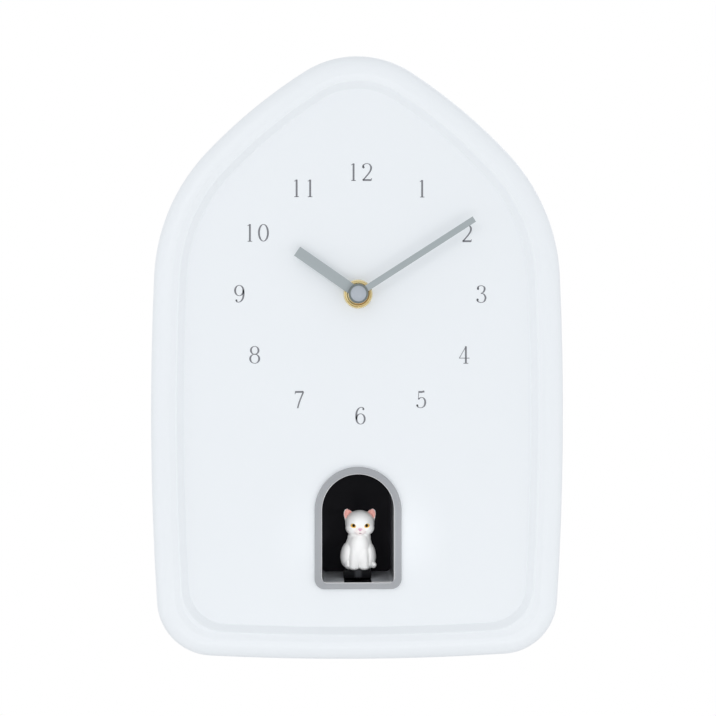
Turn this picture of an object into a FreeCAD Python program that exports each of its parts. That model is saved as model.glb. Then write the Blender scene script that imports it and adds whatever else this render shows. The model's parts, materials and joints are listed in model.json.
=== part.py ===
import FreeCAD, Part
import math
import os

# House-shaped quartz wall clock with a cat that slides forward in an arched window.
# Frame: +Z up, the dial faces -Y, the wall plane is y = 0, the origin is the keyhole's round hole.
# "w" is a height measured from the hands' axis; every length is in mm.

V = FreeCAD.Vector

# ---- case outline ---------------------------------------------------------------------
HALF_WIDTH = 102.6
CROWN = 118.3
DROP = 181.6
DEPTH = 58.0
KEYHOLE_UP = 85.0
SIDE_RADIUS = 1500.0
SIDE_MID_W = -60.0
SOLE_RADIUS = 1277.0
ROOF_RADIUS = 260.0
ROOF_MID_X = 0.5507 * HALF_WIDTH
ROOF_MID_W = CROWN - 30.3
ROOF_SLOPE = 41.0
APEX_R = 49.0
SHOULDER_R = 95.0
FOOT_R = 28.0
BROW_R = 8.0
WALL = 2.4
COVER_DEPTH = 14.0
COVER_ROUND = 7.0
LIP_GAP = 0.15
LIP_THICK = 1.6
LIP_DEPTH = 3.0

# ---- recessed rim ----------------------------------------------------------------------
STEP_INSET = 12.4
STEP_RUN = 2.6
STEP_DEPTH = 1.1
STEP_FOOT_R = 18.5
CREST_ROUND = 2.0
STEP_ROUND = 1.2
SLOPE_INSET = 16.4
SLOPE_RUN = 3.2
SLOPE_DEPTH = 3.7
SLOPE_FOOT_R = 18.6
SHELF_ROUND = 0.9
DIAL_ROUND = 0.6
POCKET_INSET = 9.0
LEDGE_INSET = 13.6

CREST_Y = -DEPTH
STEP_Y = CREST_Y + STEP_DEPTH
DIAL_Y = STEP_Y + SLOPE_DEPTH
DIAL_BACK = DIAL_Y + WALL
JOIN_Y = -COVER_DEPTH

# ---- case screws, keyhole, bumpers ---------------------------------------------------------
BOSS_INSET = 10.5
BOSS_R = 4.0
PILLAR_R = 4.6
BOSS_SINK = 2.1
SIDE_BOSS_W = -60.0
SOLE_BOSS_X = 50.0
SCREW_R = 1.25
SCREW_FIT = 0.05
SCREW_LONG = 16.0
SCREW_PASS_R = 1.7
SCREW_HEAD_R = 3.0
SCREW_HEAD_H = 2.0
SCREW_WELL_R = 3.4
SCREW_WELL = 8.0
SLOT_W = 0.8
SLOT_DEEP = 0.8
KEYHOLE_R = 4.5
KEYHOLE_SLOT = 2.3
KEYHOLE_RISE = 10.0
KEYHOLE_BOX_X = 9.0
KEYHOLE_BOX_DOWN = 7.5
KEYHOLE_BOX_UP = 14.0
KEYHOLE_BOX_DEEP = 6.0
THIN = 1.6
BUMPER_R = 5.0
BUMPER_H = 0.8
BUMPER_X = 88.0
BUMPER_W = -105.0
BUMPER_GAP = 0.05

# ---- hands ------------------------------------------------------------------------------
MINUTE_ANGLE = 57.2
HOUR_ANGLE = 304.8
MINUTE_LONG = 67.8
MINUTE_WIDE = 3.05
HOUR_LONG = 36.7
HOUR_WIDE = 5.3
HAND_THICK = 0.5
MINUTE_HUB_R = 4.9
HOUR_HUB_R = 4.5
CAP_R = 4.0
CAP_H = 2.2
CAP_BORE = 1.0
HOUR_STAND = 5.1
HAND_GAP = 1.5
ARBOR_PROUD = 0.8

# ---- shaft, bush, washer, nut -----------------------------------------------------------
ARBOR_R = 1.7
TUBE_BORE = 1.75
TUBE_R = 2.5
BUSH_BORE = 2.55
BUSH_R = 4.0
BUSH_PROUD = 3.6
BUSH_FLANGE_R = 6.5
BUSH_FLANGE_H = 0.8
BUSH_CHAMFER = 0.2
DIAL_HOLE_R = 4.2
WASHER_R = 7.2
WASHER_H = 0.6
NUT_R = 6.2
NUT_H = 2.4
NUT_SLOT = 1.6
NUT_SLOT_DEEP = 1.3
NUT_CHAMFER = 0.4
NUT_TURN = -12.0
GASKET_R = 14.0
GASKET_H = 1.0
FIT = 0.05
SNUG = 0.02

# ---- movement ---------------------------------------------------------------------------
MOVE_HALF = 28.0
MOVE_DEEP = 16.0
MOVE_WALL = 1.2
MOVE_SPLIT = 8.3
BAY_TOP = -11.6
BAY_RIB = 1.0
CELL_R = 7.1
CELL_LONG = 50.2
CELL_NUB_R = 2.6
CELL_NUB = 1.1
CELL_W = -19.2
CELL_ROUND = 0.4
PIVOT_R = 0.4
PIVOT_LONG = 0.8
AXLE_R = 0.5
END_PLAY = 0.2
CLIP_X = 1.2
CLIP_W0 = 5.0
CLIP_W1 = 12.0
HOUR_LAYER = (1.3, 2.5)
CANNON_LAYER = (3.0, 4.4)
CENTRE_LAYER = (5.0, 6.0)
THIRD_LAYER = (6.6, 7.6)
SECOND_LAYER = (8.2, 9.2)
BETWEEN_LAYER = (9.8, 10.8)
STATOR_LAYER = (3.2, 4.0)
MAGNET_LAYER = (2.4, 4.8)
MAGNET_R = 2.5

# ---- tooth form -------------------------------------------------------------------------
PRESSURE = math.radians(20.0)
ADDENDUM = 0.85
DEDENDUM = 1.25
SLACK = 0.16
UNDERCUT = 0.35

# ---- train: teeth, modules, centres -------------------------------------------------------
CANNON_T, MOTION_T, MOTION_MOD = 12, 36, 0.4
MOTION_PINION_T, HOUR_T, HOUR_MOD = 10, 40, 0.384
KNOB_T = 12
CENTRE_T, LEAF_T, FINE_MOD = 64, 8, 0.25
THIRD_T, SECOND_T, SECOND_MOD = 60, 40, 0.3
BETWEEN_T = 48
MOTION_LINE = math.radians(180.0)
KNOB_LINE = math.radians(150.0)
THIRD_LINE = math.radians(48.19)
SECOND_LINE = math.radians(76.4)
BETWEEN_LINE = math.radians(166.1)
ROTOR_LINE = math.radians(190.0)
KNOB_R = 5.5
KNOB_H = 3.5
KNOB_STEM = 1.2
KNOB_GAP = 0.5
RIBS = 18
RIB_R = 0.45

# ---- coil, board --------------------------------------------------------------------------
COIL_X = -20.3
COIL_W0 = 12.3
COIL_W1 = 20.7
COIL_R = 3.0
BOBBIN_FLANGE_R = 3.2
BOBBIN_R = 1.8
BOBBIN_FLANGE = 0.5
CORE_HALF = 0.7
CORE_GAP = 0.1
STATOR_LEFT = -24.0
STATOR_EDGE = -16.5
STATOR_RIGHT = -0.6
STATOR_LOW = 9.7
STATOR_ARM = 12.0
STATOR_ARM_TOP = 21.0
STATOR_TOP = 25.4
STATOR_GAP = 0.6
BOARD_X0 = 15.2
BOARD_X1 = 26.4
BOARD_W0 = -8.0
BOARD_W1 = 26.0
BOARD_Y = 3.1
BOARD_T = 0.8
POST_R = 1.2
CRYSTAL_R = 1.0
CRYSTAL_LONG = 6.0
CHIP_R = 3.0
CHIP_H = 1.0
CHIP_ROUND = 0.8

# ---- arched window -------------------------------------------------------------------------
BEZEL_SIDE = 3.65
BEZEL_BROW = 3.5
BEZEL_SILL = 3.3
BEZEL_FOOT_R = 5.0
BEZEL_PROUD = 2.6
BEZEL_ROUND = 0.9
OPEN_HALF = 17.9
OPEN_TOP = -89.2
OPEN_LOW = -142.9
OPEN_FOOT_R = 2.5
SLEEVE_WALL = 1.2
SLEEVE_BACK = -18.0
SLEEVE_GAP = 0.2
RUN_SLOT_HALF = 6.9
RUN_SLOT_FRONT = -1.6
NICHE_T = 1.6
NICHE_RIM = 4.0
NICHE_GAP = 0.1

# ---- cat runway and carriage ----------------------------------------------------------------
TRAVEL = 12.0
RUN_DROP = 0.3
RUN_HALF = 6.6
RUN_FLANGE_HALF = 11.0
RUN_FLANGE_H = 2.3
RUN_FRONT_GAP = 0.4
GROOVE_HALF = 1.6
BLADE_HALF = 1.3
SLIDE_GAP = 0.3
BLOCK_HALF = 6.0
BLOCK_H = 3.0
CHEEK = 2.0
CHEEK_LIP = 1.4
RACK_HALF = 2.7
RACK_LAND = 1.3
CAT_Y = -35.0
PLINTH_HALF = 7.0
PLINTH_DEEP = 7.0
PLINTH_LIFT = 0.6
PLINTH_H = 3.8
PLINTH_ROUND = 0.4
CARRIAGE_FRONT = -37.6
GROOVE_FRONT_GAP = 0.4
CARRIAGE_BACK = -17.0
BLADE_FRONT = -38.2
BLADE_BACK = -27.0

# ---- cat -----------------------------------------------------------------------------------
CAT_X = 0.7
CAT_TALL = 31.0
CAT_FOOT_R = 7.9
CAT_HIP_R = 8.9
CAT_HIP_H = 4.5
CAT_CHEST_R = 6.9
CAT_CHEST_H = 12.5
CAT_NECK_R = 5.7
CAT_NECK_H = 18.0
HEAD_R = 7.1
HEAD_H = 21.6
EAR_X = 4.2
EAR_R = 2.9
EAR_H = 24.6
LEG_R = 2.4
LEG_X = 2.9
LEG_H = 13.0
LEG_Y = 5.6
PAW_R = 2.9
TAIL_R = 1.9

# ---- cat drive -----------------------------------------------------------------------------
DRIVE_MOD = 0.5
RACK_PINION_T = 20
DRIVE_WHEEL_T = 40
DRIVE_LEAF_T = 10
DRIVE_Y = -34.0
DRIVE_LINE = math.radians(-19.2)
MOTOR_LINE = math.radians(224.0)
DRIVE_WHEEL_X = (12.0, 14.5)
DRIVE_LEAF_X = (11.8, 15.0)
SECOND_WHEEL_X = (16.0, 18.5)
MOTOR_LEAF_X = (15.8, 19.2)
RACK_PINION_X = (-2.4, 2.4)
SPINDLE_R = 1.0
PLATE_LEFT = (-13.0, -11.4)
PLATE_RIGHT = (20.0, 21.6)
PLATE_BACK = -13.0
PLATE_DROP = 1.6
PLATE_TALL = 27.0
PLATE_TOE = 12.4
FLANGE_STAND = 3.0
FLANGE_WIDE = 8.4
FLANGE_IN = 2.0
FLANGE_TALL = 18.0
FIXING_IN_W = (6.0, 15.5)
FIXING_IN = 4.4
FIXING_BOSS_R = 3.0
FIXING_R = 1.0
FIXING_PASS_R = 1.3
FIXING_LONG = 4.6
FIXING_HEAD_R = 2.0
FIXING_HEAD = 1.6
MOTOR_R = 7.75
MOTOR_LONG = 20.0
MOTOR_CAP = 4.0
MOTOR_ROUND = 0.6
END_SWITCH_PITCH = 12.4
END_SWITCH_DEEP = 5.0
MOTOR_SHAFT_HOLE = 2.0

# ---- access well, battery tray, sound parts ----------------------------------------------------
WELL_ROOM = 3.8
WELL_DEEP = 30.0
TRAY_CLEAR = 2.3
TRAY_W = -142.0
TRAY_HALF_X = 30.0
TRAY_HALF_W = 15.9
TRAY_WALL = 2.4
TRAY_LEDGE = 1.4
DOOR_T = 2.0
DOOR_GAP = 0.25
DOOR_SUNK = 0.1
GRIP_RIBS = 4
GRIP_IN = 4.0
GRIP_PITCH = 2.4
GRIP_WIDE = 0.8
GRIP_DEEP = 0.4
TRAY_FLOOR = -17.1
TRAY_FLOOR_T = 1.6
SOUND_CELL_Y = -9.6
SOUND_CELL_STEP = 7.7
CONTACT_T = 0.5
CONTACT_HALF = 3.5
SPEAKER_X = 56.0
SPEAKER_W = -112.0
SPEAKER_R = 20.0
SPEAKER_RIM = 2.6
SPEAKER_FACE = 1.8
SPEAKER_THROAT_R = 9.0
SPEAKER_BASKET = 7.0
SPEAKER_SKIN = 0.8
CONE_T = 0.39
CONE_GAP = 0.9
MAGNET_BIG_R = 10.0
MAGNET_BIG_H = 6.0
MAGNET_CHAMFER = 0.4
GRILLE_R = 1.1
GRILLE_PITCH = 4.4
GRILLE_RINGS = 3
BOARD2_X = (-84.0, -44.0)
BOARD2_W = (-119.0, -91.0)
BOARD2_Y = -18.4
BOARD2_T = 1.6
STAKE_R = 1.2
STAKE_PROUD = 0.9
STAKE_IN = 4.0
CAPACITOR_R = 4.0
CAPACITOR_H = 8.0
SOCKET_X = (-12.0, -8.0)
SOCKET_HALF_W = 6.0
SOCKET_H = 4.0
SWITCH_X = -62.0
SWITCH_W = -78.0
SWITCH_HALF_X = 5.5
SWITCH_BODY_X = 7.15
SWITCH_HALF_W = 3.4
SWITCH_DEEP = 5.0
SWITCH_NUB_HALF = 1.5
SWITCH_PROUD = -0.5
SWITCH_TRAVEL = 2.0
BUTTON_X = -36.0
BUTTON_W = -78.0
BUTTON_R = 3.0
BUTTON_FIT = 0.08
BUTTON_PROUD = -0.3
BUTTON_TRAVEL = 1.2
BUTTON_FLANGE_R = 3.8
BUTTON_FLANGE = 1.0
BUTTON_ROUND = 0.5
BUTTON_BODY = 5.0
BUTTON_ROOM = 4.0

OVER = 1.0
AXIS_Z = -KEYHOLE_UP
WELL_HALF = MOVE_HALF + WELL_ROOM
TRAY_X = -(OPEN_HALF + SLEEVE_WALL + NICHE_GAP + NICHE_T + TRAY_CLEAR + TRAY_WALL + TRAY_HALF_X)


# ---- basic shapes --------------------------------------------------------------------------
def at(x, y, w):
    return V(x, y, AXIS_Z + w)


def block(x0, x1, y0, y1, w0, w1):
    low = at(min(x0, x1), min(y0, y1), min(w0, w1))
    return Part.makeBox(abs(x1 - x0), abs(y1 - y0), abs(w1 - w0), low)


def rod_y(x, w, y0, y1, radius):
    return Part.makeCylinder(radius, abs(y1 - y0), at(x, max(y0, y1), w), V(0, -1, 0))


def rod_x(y, w, x0, x1, radius):
    return Part.makeCylinder(radius, abs(x1 - x0), at(min(x0, x1), y, w), V(1, 0, 0))


def rod_z(x, y, w0, w1, radius):
    return Part.makeCylinder(radius, abs(w1 - w0), at(x, y, min(w0, w1)), V(0, 0, 1))


def ring_y(x, w, y0, y1, outer, inner):
    return rod_y(x, w, y0, y1, outer).cut(rod_y(x, w, y0, y1, inner))


def plate_y(points, y0, y1):
    corners = [at(x, y0, w) for x, w in points]
    face = Part.Face(Part.makePolygon(corners + corners[:1]))
    return face.extrude(V(0, y1 - y0, 0))


def plate_x(points, x0, x1):
    corners = [at(x0, y, w) for y, w in points]
    face = Part.Face(Part.makePolygon(corners + corners[:1]))
    return face.extrude(V(x1 - x0, 0, 0))


def spun_y(profile, x, w):
    """Turn a closed (radius, y) profile about the Y line through x, w."""
    corners = [at(x + radius, y, w) for radius, y in profile]
    face = Part.Face(Part.makePolygon(corners + corners[:1]))
    return face.revolve(at(x, 0, w), V(0, 1, 0), 360)


def fuse_all(first, *rest):
    return first.multiFuse(list(rest)).removeSplitter()


def edges_on(shape, y):
    near = 1e-4
    return [e for e in shape.Edges if all(abs(v.Point.y - y) < near for v in e.Vertexes)]


def inner_edges_on(shape, y):
    """Edges of the hole in the flat ring-shaped face that lies at y."""
    near = 1e-4
    for face in shape.Faces:
        flat = face.BoundBox.YLength < near and abs(face.BoundBox.YMin - y) < near
        if flat and len(face.Wires) > 1:
            outer = face.OuterWire
            return [e for wire in face.Wires if not wire.isSame(outer) for e in wire.Edges]
    return []


# ---- the house outline -----------------------------------------------------------------------
def crossing(c1, r1, c2, r2, hint):
    """The crossing of two circles that lies further along the hint direction."""
    dx, dz = c2[0] - c1[0], c2[1] - c1[1]
    gap = math.hypot(dx, dz)
    along = (r1 * r1 - r2 * r2 + gap * gap) / (2 * gap)
    off = math.sqrt(r1 * r1 - along * along)
    ux, uz = dx / gap, dz / gap
    both = [(c1[0] + along * ux - s * off * uz, c1[1] + along * uz + s * off * ux) for s in (-1, 1)]
    return max(both, key=lambda p: p[0] * hint[0] + p[1] * hint[1])


def touch(centre, radius, corner):
    """Where a big circle meets a corner circle that rolls inside it."""
    dx, dz = corner[0] - centre[0], corner[1] - centre[1]
    gap = math.hypot(dx, dz)
    return (centre[0] + radius * dx / gap, centre[1] + radius * dz / gap)


def arc(centre, start, end):
    """Middle point of the short arc from start to end about centre."""
    radius = math.hypot(start[0] - centre[0], start[1] - centre[1])
    mx = (start[0] + end[0]) / 2 - centre[0]
    mz = (start[1] + end[1]) / 2 - centre[1]
    size = math.hypot(mx, mz)
    return (centre[0] + radius * mx / size, centre[1] + radius * mz / size)


def roof_circle():
    slope = math.radians(ROOF_SLOPE)
    centre = (ROOF_MID_X - ROOF_RADIUS * math.sin(slope), ROOF_MID_W - ROOF_RADIUS * math.cos(slope))
    return centre, ROOF_RADIUS


def side_circle():
    return (HALF_WIDTH - SIDE_RADIUS, SIDE_MID_W), SIDE_RADIUS


def sole_circle():
    return (0.0, SOLE_RADIUS - DROP), SOLE_RADIUS


def outline(inset, y, foot=None):
    """Closed wire of the house shape, moved in by inset, on the plane y."""
    roof_c, roof_r = roof_circle()
    side_c, side_r = side_circle()
    sole_c, sole_r = sole_circle()
    roof_r, side_r, sole_r = roof_r - inset, side_r - inset, sole_r - inset
    apex_r, shoulder_r = APEX_R - inset, SHOULDER_R - inset
    foot_r = FOOT_R - inset if foot is None else foot
    apex_w = roof_c[1] + math.sqrt((roof_r - apex_r) ** 2 - roof_c[0] ** 2)
    apex_c = (0.0, apex_w)
    shoulder_c = crossing(roof_c, roof_r - shoulder_r, side_c, side_r - shoulder_r, (1, 1))
    foot_c = crossing(side_c, side_r - foot_r, sole_c, sole_r - foot_r, (1, -1))
    a = touch(roof_c, roof_r, apex_c)
    b = touch(roof_c, roof_r, shoulder_c)
    c = touch(side_c, side_r, shoulder_c)
    d = touch(side_c, side_r, foot_c)
    e = touch(sole_c, sole_r, foot_c)
    right = [
        (a, arc(roof_c, a, b), b),
        (b, arc(shoulder_c, b, c), c),
        (c, arc(side_c, c, d), d),
        (d, arc(foot_c, d, e), e),
    ]
    left = [tuple((-x, w) for x, w in reversed(piece)) for piece in reversed(right)]
    sole = (e, (0.0, sole_c[1] - sole_r), (-e[0], e[1]))
    apex = ((-a[0], a[1]), (0.0, apex_w + apex_r), a)
    curves = []
    for start, mid, end in right + [sole] + left + [apex]:
        curves.append(Part.Arc(at(start[0], y, start[1]), at(mid[0], y, mid[1]), at(end[0], y, end[1])))
    return Part.Wire([curve.toShape() for curve in curves])


def house(inset, y0, y1, foot=None):
    return Part.Face(outline(inset, y0, foot)).extrude(V(0, y1 - y0, 0))


def house_recess(inset, run, deep_y, top_y, foot):
    """House-shaped recess tool whose side leans out by run as it rises from deep_y to top_y."""
    lean = run / (deep_y - top_y)
    out = run + lean * OVER
    low = outline(inset, deep_y, foot)
    high = outline(inset - out, top_y - OVER, foot + out)
    return Part.makeLoft([low, high], True, True)


def boss_places():
    """Screw places near the edge: roof, side and sole on each half."""
    slope = math.radians(ROOF_SLOPE)
    roof = (ROOF_MID_X - BOSS_INSET * math.sin(slope), ROOF_MID_W - BOSS_INSET * math.cos(slope))
    side_c, side_r = side_circle()
    side = (side_c[0] + math.sqrt((side_r - BOSS_INSET) ** 2 - (SIDE_BOSS_W - side_c[1]) ** 2), SIDE_BOSS_W)
    sole_c, sole_r = sole_circle()
    sole = (SOLE_BOSS_X, sole_c[1] - math.sqrt((sole_r - BOSS_INSET) ** 2 - SOLE_BOSS_X ** 2))
    return [(sign * x, w) for x, w in (roof, side, sole) for sign in (-1, 1)]


# ---- arched shapes -----------------------------------------------------------------------------
def arch(half, top, low, foot, y0, y1):
    """Round-topped opening shape with small radii at its feet."""
    spring = top - half
    lean = foot * (1 - math.sqrt(0.5))
    points = [
        ("line", (half, low + foot), (half, spring)),
        ("arc", (half, spring), (0.0, top), (-half, spring)),
        ("line", (-half, spring), (-half, low + foot)),
        ("arc", (-half, low + foot), (-half + lean, low + lean), (-half + foot, low)),
        ("line", (-half + foot, low), (half - foot, low)),
        ("arc", (half - foot, low), (half - lean, low + lean), (half, low + foot)),
    ]
    edges = []
    for kind, *spots in points:
        spots = [at(x, y0, w) for x, w in spots]
        curve = Part.LineSegment(*spots) if kind == "line" else Part.Arc(*spots)
        edges.append(curve.toShape())
    return Part.Face(Part.Wire(edges)).extrude(V(0, y1 - y0, 0))


def sleeve_outer(grow, y0, y1):
    wide = SLEEVE_WALL + grow
    return arch(OPEN_HALF + wide, OPEN_TOP + wide, OPEN_LOW - wide, OPEN_FOOT_R + wide, y0, y1)


# ---- toothed shapes ----------------------------------------------------------------------------
def involute(angle):
    return math.tan(angle) - angle


def tooth_half(radius, teeth, module):
    """Half the angle a tooth covers at this radius."""
    pitch_r = teeth * module / 2
    base_r = pitch_r * math.cos(PRESSURE)
    half = math.pi / 2 / teeth * (1 - SLACK)
    full = half + involute(PRESSURE)
    if radius <= base_r:
        return full * (1 - UNDERCUT * (base_r - radius) / module)
    return full - involute(math.acos(base_r / radius))


def gear_points(teeth, module, phase):
    pitch_r = teeth * module / 2
    radii = [pitch_r - DEDENDUM * module, pitch_r, pitch_r + ADDENDUM * module]
    points = []
    for tooth in range(teeth):
        mid = phase + 2 * math.pi * tooth / teeth
        for side, steps in ((-1, radii), (1, radii[::-1])):
            for radius in steps:
                angle = mid + side * tooth_half(radius, teeth, module)
                points.append((radius * math.cos(angle), radius * math.sin(angle)))
    return points


def gear_y(teeth, module, phase, centre, y0, y1):
    points = [(centre[0] + x, centre[1] + w) for x, w in gear_points(teeth, module, phase)]
    return plate_y(points, y0, y1)


def gear_x(teeth, module, phase, centre, x0, x1):
    points = [(centre[0] + y, centre[1] + w) for y, w in gear_points(teeth, module, phase)]
    return plate_x(points, x0, x1)


def mesh_phase(teeth_a, phase_a, teeth_b, line):
    """Phase of gear b so that its gap meets gear a's tooth on the line from a to b."""
    part = ((line - phase_a) * teeth_a / (2 * math.pi)) % 1
    return line + math.pi - (0.5 - part) * 2 * math.pi / teeth_b


def step(centre, line, teeth_a, teeth_b, module):
    gap = (teeth_a + teeth_b) * module / 2
    return (centre[0] + gap * math.cos(line), centre[1] + gap * math.sin(line))


# ---- the train's centres and phases ----------------------------------------------------------------
AXIS = (0.0, 0.0)
MOTION = step(AXIS, MOTION_LINE, CANNON_T, MOTION_T, MOTION_MOD)
KNOB = step(MOTION, KNOB_LINE, MOTION_T, KNOB_T, MOTION_MOD)
THIRD = step(AXIS, THIRD_LINE, CENTRE_T, LEAF_T, FINE_MOD)
SECOND = step(THIRD, SECOND_LINE, THIRD_T, LEAF_T, FINE_MOD)
BETWEEN = step(SECOND, BETWEEN_LINE, SECOND_T, LEAF_T, SECOND_MOD)
ROTOR = step(BETWEEN, ROTOR_LINE, BETWEEN_T, LEAF_T, FINE_MOD)

CANNON_PHASE = 0.0
MOTION_PHASE = mesh_phase(CANNON_T, CANNON_PHASE, MOTION_T, MOTION_LINE)
KNOB_PHASE = mesh_phase(MOTION_T, MOTION_PHASE, KNOB_T, KNOB_LINE)
MOTION_LEAF_PHASE = MOTION_PHASE
HOUR_PHASE = mesh_phase(MOTION_PINION_T, MOTION_LEAF_PHASE, HOUR_T, MOTION_LINE + math.pi)
CENTRE_PHASE = 0.0
THIRD_LEAF_PHASE = mesh_phase(CENTRE_T, CENTRE_PHASE, LEAF_T, THIRD_LINE)
THIRD_PHASE = THIRD_LEAF_PHASE
SECOND_LEAF_PHASE = mesh_phase(THIRD_T, THIRD_PHASE, LEAF_T, SECOND_LINE)
SECOND_PHASE = SECOND_LEAF_PHASE
BETWEEN_LEAF_PHASE = mesh_phase(SECOND_T, SECOND_PHASE, LEAF_T, BETWEEN_LINE)
BETWEEN_PHASE = BETWEEN_LEAF_PHASE
ROTOR_PHASE = mesh_phase(BETWEEN_T, BETWEEN_PHASE, LEAF_T, ROTOR_LINE)

MOVE_FRONT = DIAL_BACK + GASKET_H
MOVE_FLOOR = MOVE_FRONT + MOVE_WALL
MOVE_BACK = MOVE_FRONT + MOVE_DEEP
MOVE_ROOF = MOVE_BACK - MOVE_WALL
MOVE_PART = MOVE_FRONT + MOVE_SPLIT


def layer(span):
    return MOVE_FLOOR + span[0], MOVE_FLOOR + span[1]


HOUR_HAND_Y = DIAL_Y - HOUR_STAND
MINUTE_HAND_Y = HOUR_HAND_Y - HAND_THICK - HAND_GAP
MINUTE_FACE_Y = MINUTE_HAND_Y - HAND_THICK


# ---- cat drive places ------------------------------------------------------------------------------
RUN_TOP = OPEN_LOW - RUN_DROP
SLEEVE_LOW = OPEN_LOW - SLEEVE_WALL
RUN_LOW = SLEEVE_LOW - RUN_FLANGE_H
BLOCK_TOP = RUN_LOW - SLIDE_GAP
BLOCK_LOW = BLOCK_TOP - BLOCK_H
LIP_TOP = BLOCK_LOW - SLIDE_GAP
PLATE_TOP = RUN_LOW - PLATE_DROP
PLATE_LOW = PLATE_TOP - PLATE_TALL
FLANGE_TOP = PLATE_TOP - FLANGE_IN
FLANGE_LOW = FLANGE_TOP - FLANGE_TALL
RACK_ROOT = BLOCK_LOW - RACK_LAND
RACK_PITCH = RACK_ROOT - DEDENDUM * DRIVE_MOD
RACK_TIP = RACK_PITCH - ADDENDUM * DRIVE_MOD
DRIVE_W = RACK_PITCH - RACK_PINION_T * DRIVE_MOD / 2
DRIVE = (DRIVE_Y, DRIVE_W)
REDUCE = step(DRIVE, DRIVE_LINE, DRIVE_WHEEL_T, DRIVE_LEAF_T, DRIVE_MOD)
MOTOR = step(REDUCE, MOTOR_LINE, DRIVE_WHEEL_T, DRIVE_LEAF_T, DRIVE_MOD)
RACK_PINION_PHASE = math.pi / 2
DRIVE_PHASE = RACK_PINION_PHASE
REDUCE_LEAF_PHASE = mesh_phase(DRIVE_WHEEL_T, DRIVE_PHASE, DRIVE_LEAF_T, DRIVE_LINE)
REDUCE_PHASE = REDUCE_LEAF_PHASE
MOTOR_PHASE = mesh_phase(DRIVE_WHEEL_T, REDUCE_PHASE, DRIVE_LEAF_T, MOTOR_LINE)


# ---- case ----------------------------------------------------------------------------------------
def front_shell():
    body = house(0, JOIN_Y, CREST_Y)
    body = body.makeFillet(BROW_R, edges_on(body, CREST_Y))
    first = house_recess(STEP_INSET, STEP_RUN, STEP_Y, CREST_Y, STEP_FOOT_R)
    first = first.makeFillet(STEP_ROUND, edges_on(first, STEP_Y))
    body = body.cut(first)
    body = body.makeFillet(CREST_ROUND, inner_edges_on(body, CREST_Y))
    second = house_recess(SLOPE_INSET, SLOPE_RUN, DIAL_Y, STEP_Y, SLOPE_FOOT_R)
    second = second.makeFillet(DIAL_ROUND, edges_on(second, DIAL_Y))
    body = body.cut(second)
    body = body.makeFillet(SHELF_ROUND, inner_edges_on(body, STEP_Y))
    inside = house(WALL, JOIN_Y, CREST_Y + WALL)
    inside = inside.makeFillet(BROW_R - WALL, edges_on(inside, CREST_Y + WALL))
    inside = inside.cut(house(POCKET_INSET, STEP_Y + WALL, CREST_Y - OVER, FOOT_R - POCKET_INSET))
    inside = inside.cut(house(LEDGE_INSET, DIAL_BACK, CREST_Y - OVER, SLOPE_FOOT_R))
    bosses = [rod_y(x, w, JOIN_Y, CREST_Y + BOSS_SINK, BOSS_R) for x, w in boss_places()]
    inside = inside.cut(Part.makeCompound(bosses))
    body = body.cut(inside)
    fixings = [rod_y(x, w, DIAL_BACK - WALL / 2, DIAL_BACK + FLANGE_STAND, FIXING_BOSS_R)
               for x, w in fixing_places()]
    body = fuse_all(body, *fixings)
    cuts = [rod_y(0, 0, DIAL_BACK + OVER, DIAL_Y - OVER, DIAL_HOLE_R)]
    cuts.append(sleeve_outer(SLEEVE_GAP, DIAL_BACK + OVER, DIAL_Y - OVER))
    cuts += [rod_y(x, w, JOIN_Y, JOIN_Y - SCREW_LONG + SCREW_R, SCREW_R + SCREW_FIT)
             for x, w in boss_places()]
    cuts += [rod_y(x, w, DIAL_BACK + FLANGE_STAND, DIAL_BACK - FIXING_R, FIXING_R + SCREW_FIT)
             for x, w in fixing_places()]
    return body.cut(Part.makeCompound(cuts))


def keyhole_cut():
    hole = rod_y(0, KEYHOLE_UP, 0, -WALL, KEYHOLE_R)
    slot = block(-KEYHOLE_SLOT, KEYHOLE_SLOT, 0, -WALL, KEYHOLE_UP, KEYHOLE_UP + KEYHOLE_RISE)
    end = rod_y(0, KEYHOLE_UP + KEYHOLE_RISE, 0, -WALL, KEYHOLE_SLOT)
    room = block(-KEYHOLE_BOX_X, KEYHOLE_BOX_X, -WALL, -WALL - KEYHOLE_BOX_DEEP,
                 KEYHOLE_UP - KEYHOLE_BOX_DOWN, KEYHOLE_UP + KEYHOLE_BOX_UP)
    return fuse_all(hole, slot, end, room)


def grille_places():
    """Hexagonal field of holes over the speaker."""
    places = []
    for row in range(-GRILLE_RINGS, GRILLE_RINGS + 1):
        count = 2 * GRILLE_RINGS + 1 - abs(row)
        for column in range(count):
            x = (column - (count - 1) / 2) * GRILLE_PITCH
            w = row * GRILLE_PITCH * math.sqrt(3) / 2
            places.append((SPEAKER_X + x, SPEAKER_W + w))
    return places


def tray_block(grow, y0, y1):
    return block(TRAY_X - TRAY_HALF_X - grow, TRAY_X + TRAY_HALF_X + grow, y0, y1,
                 TRAY_W - TRAY_HALF_W - grow, TRAY_W + TRAY_HALF_W + grow)


def stake_places():
    across = (BOARD2_X[0] + STAKE_IN, BOARD2_X[1] - STAKE_IN)
    along = (BOARD2_W[0] + STAKE_IN, BOARD2_W[1] - STAKE_IN)
    return [(x, w) for x in across for w in along]


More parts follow.
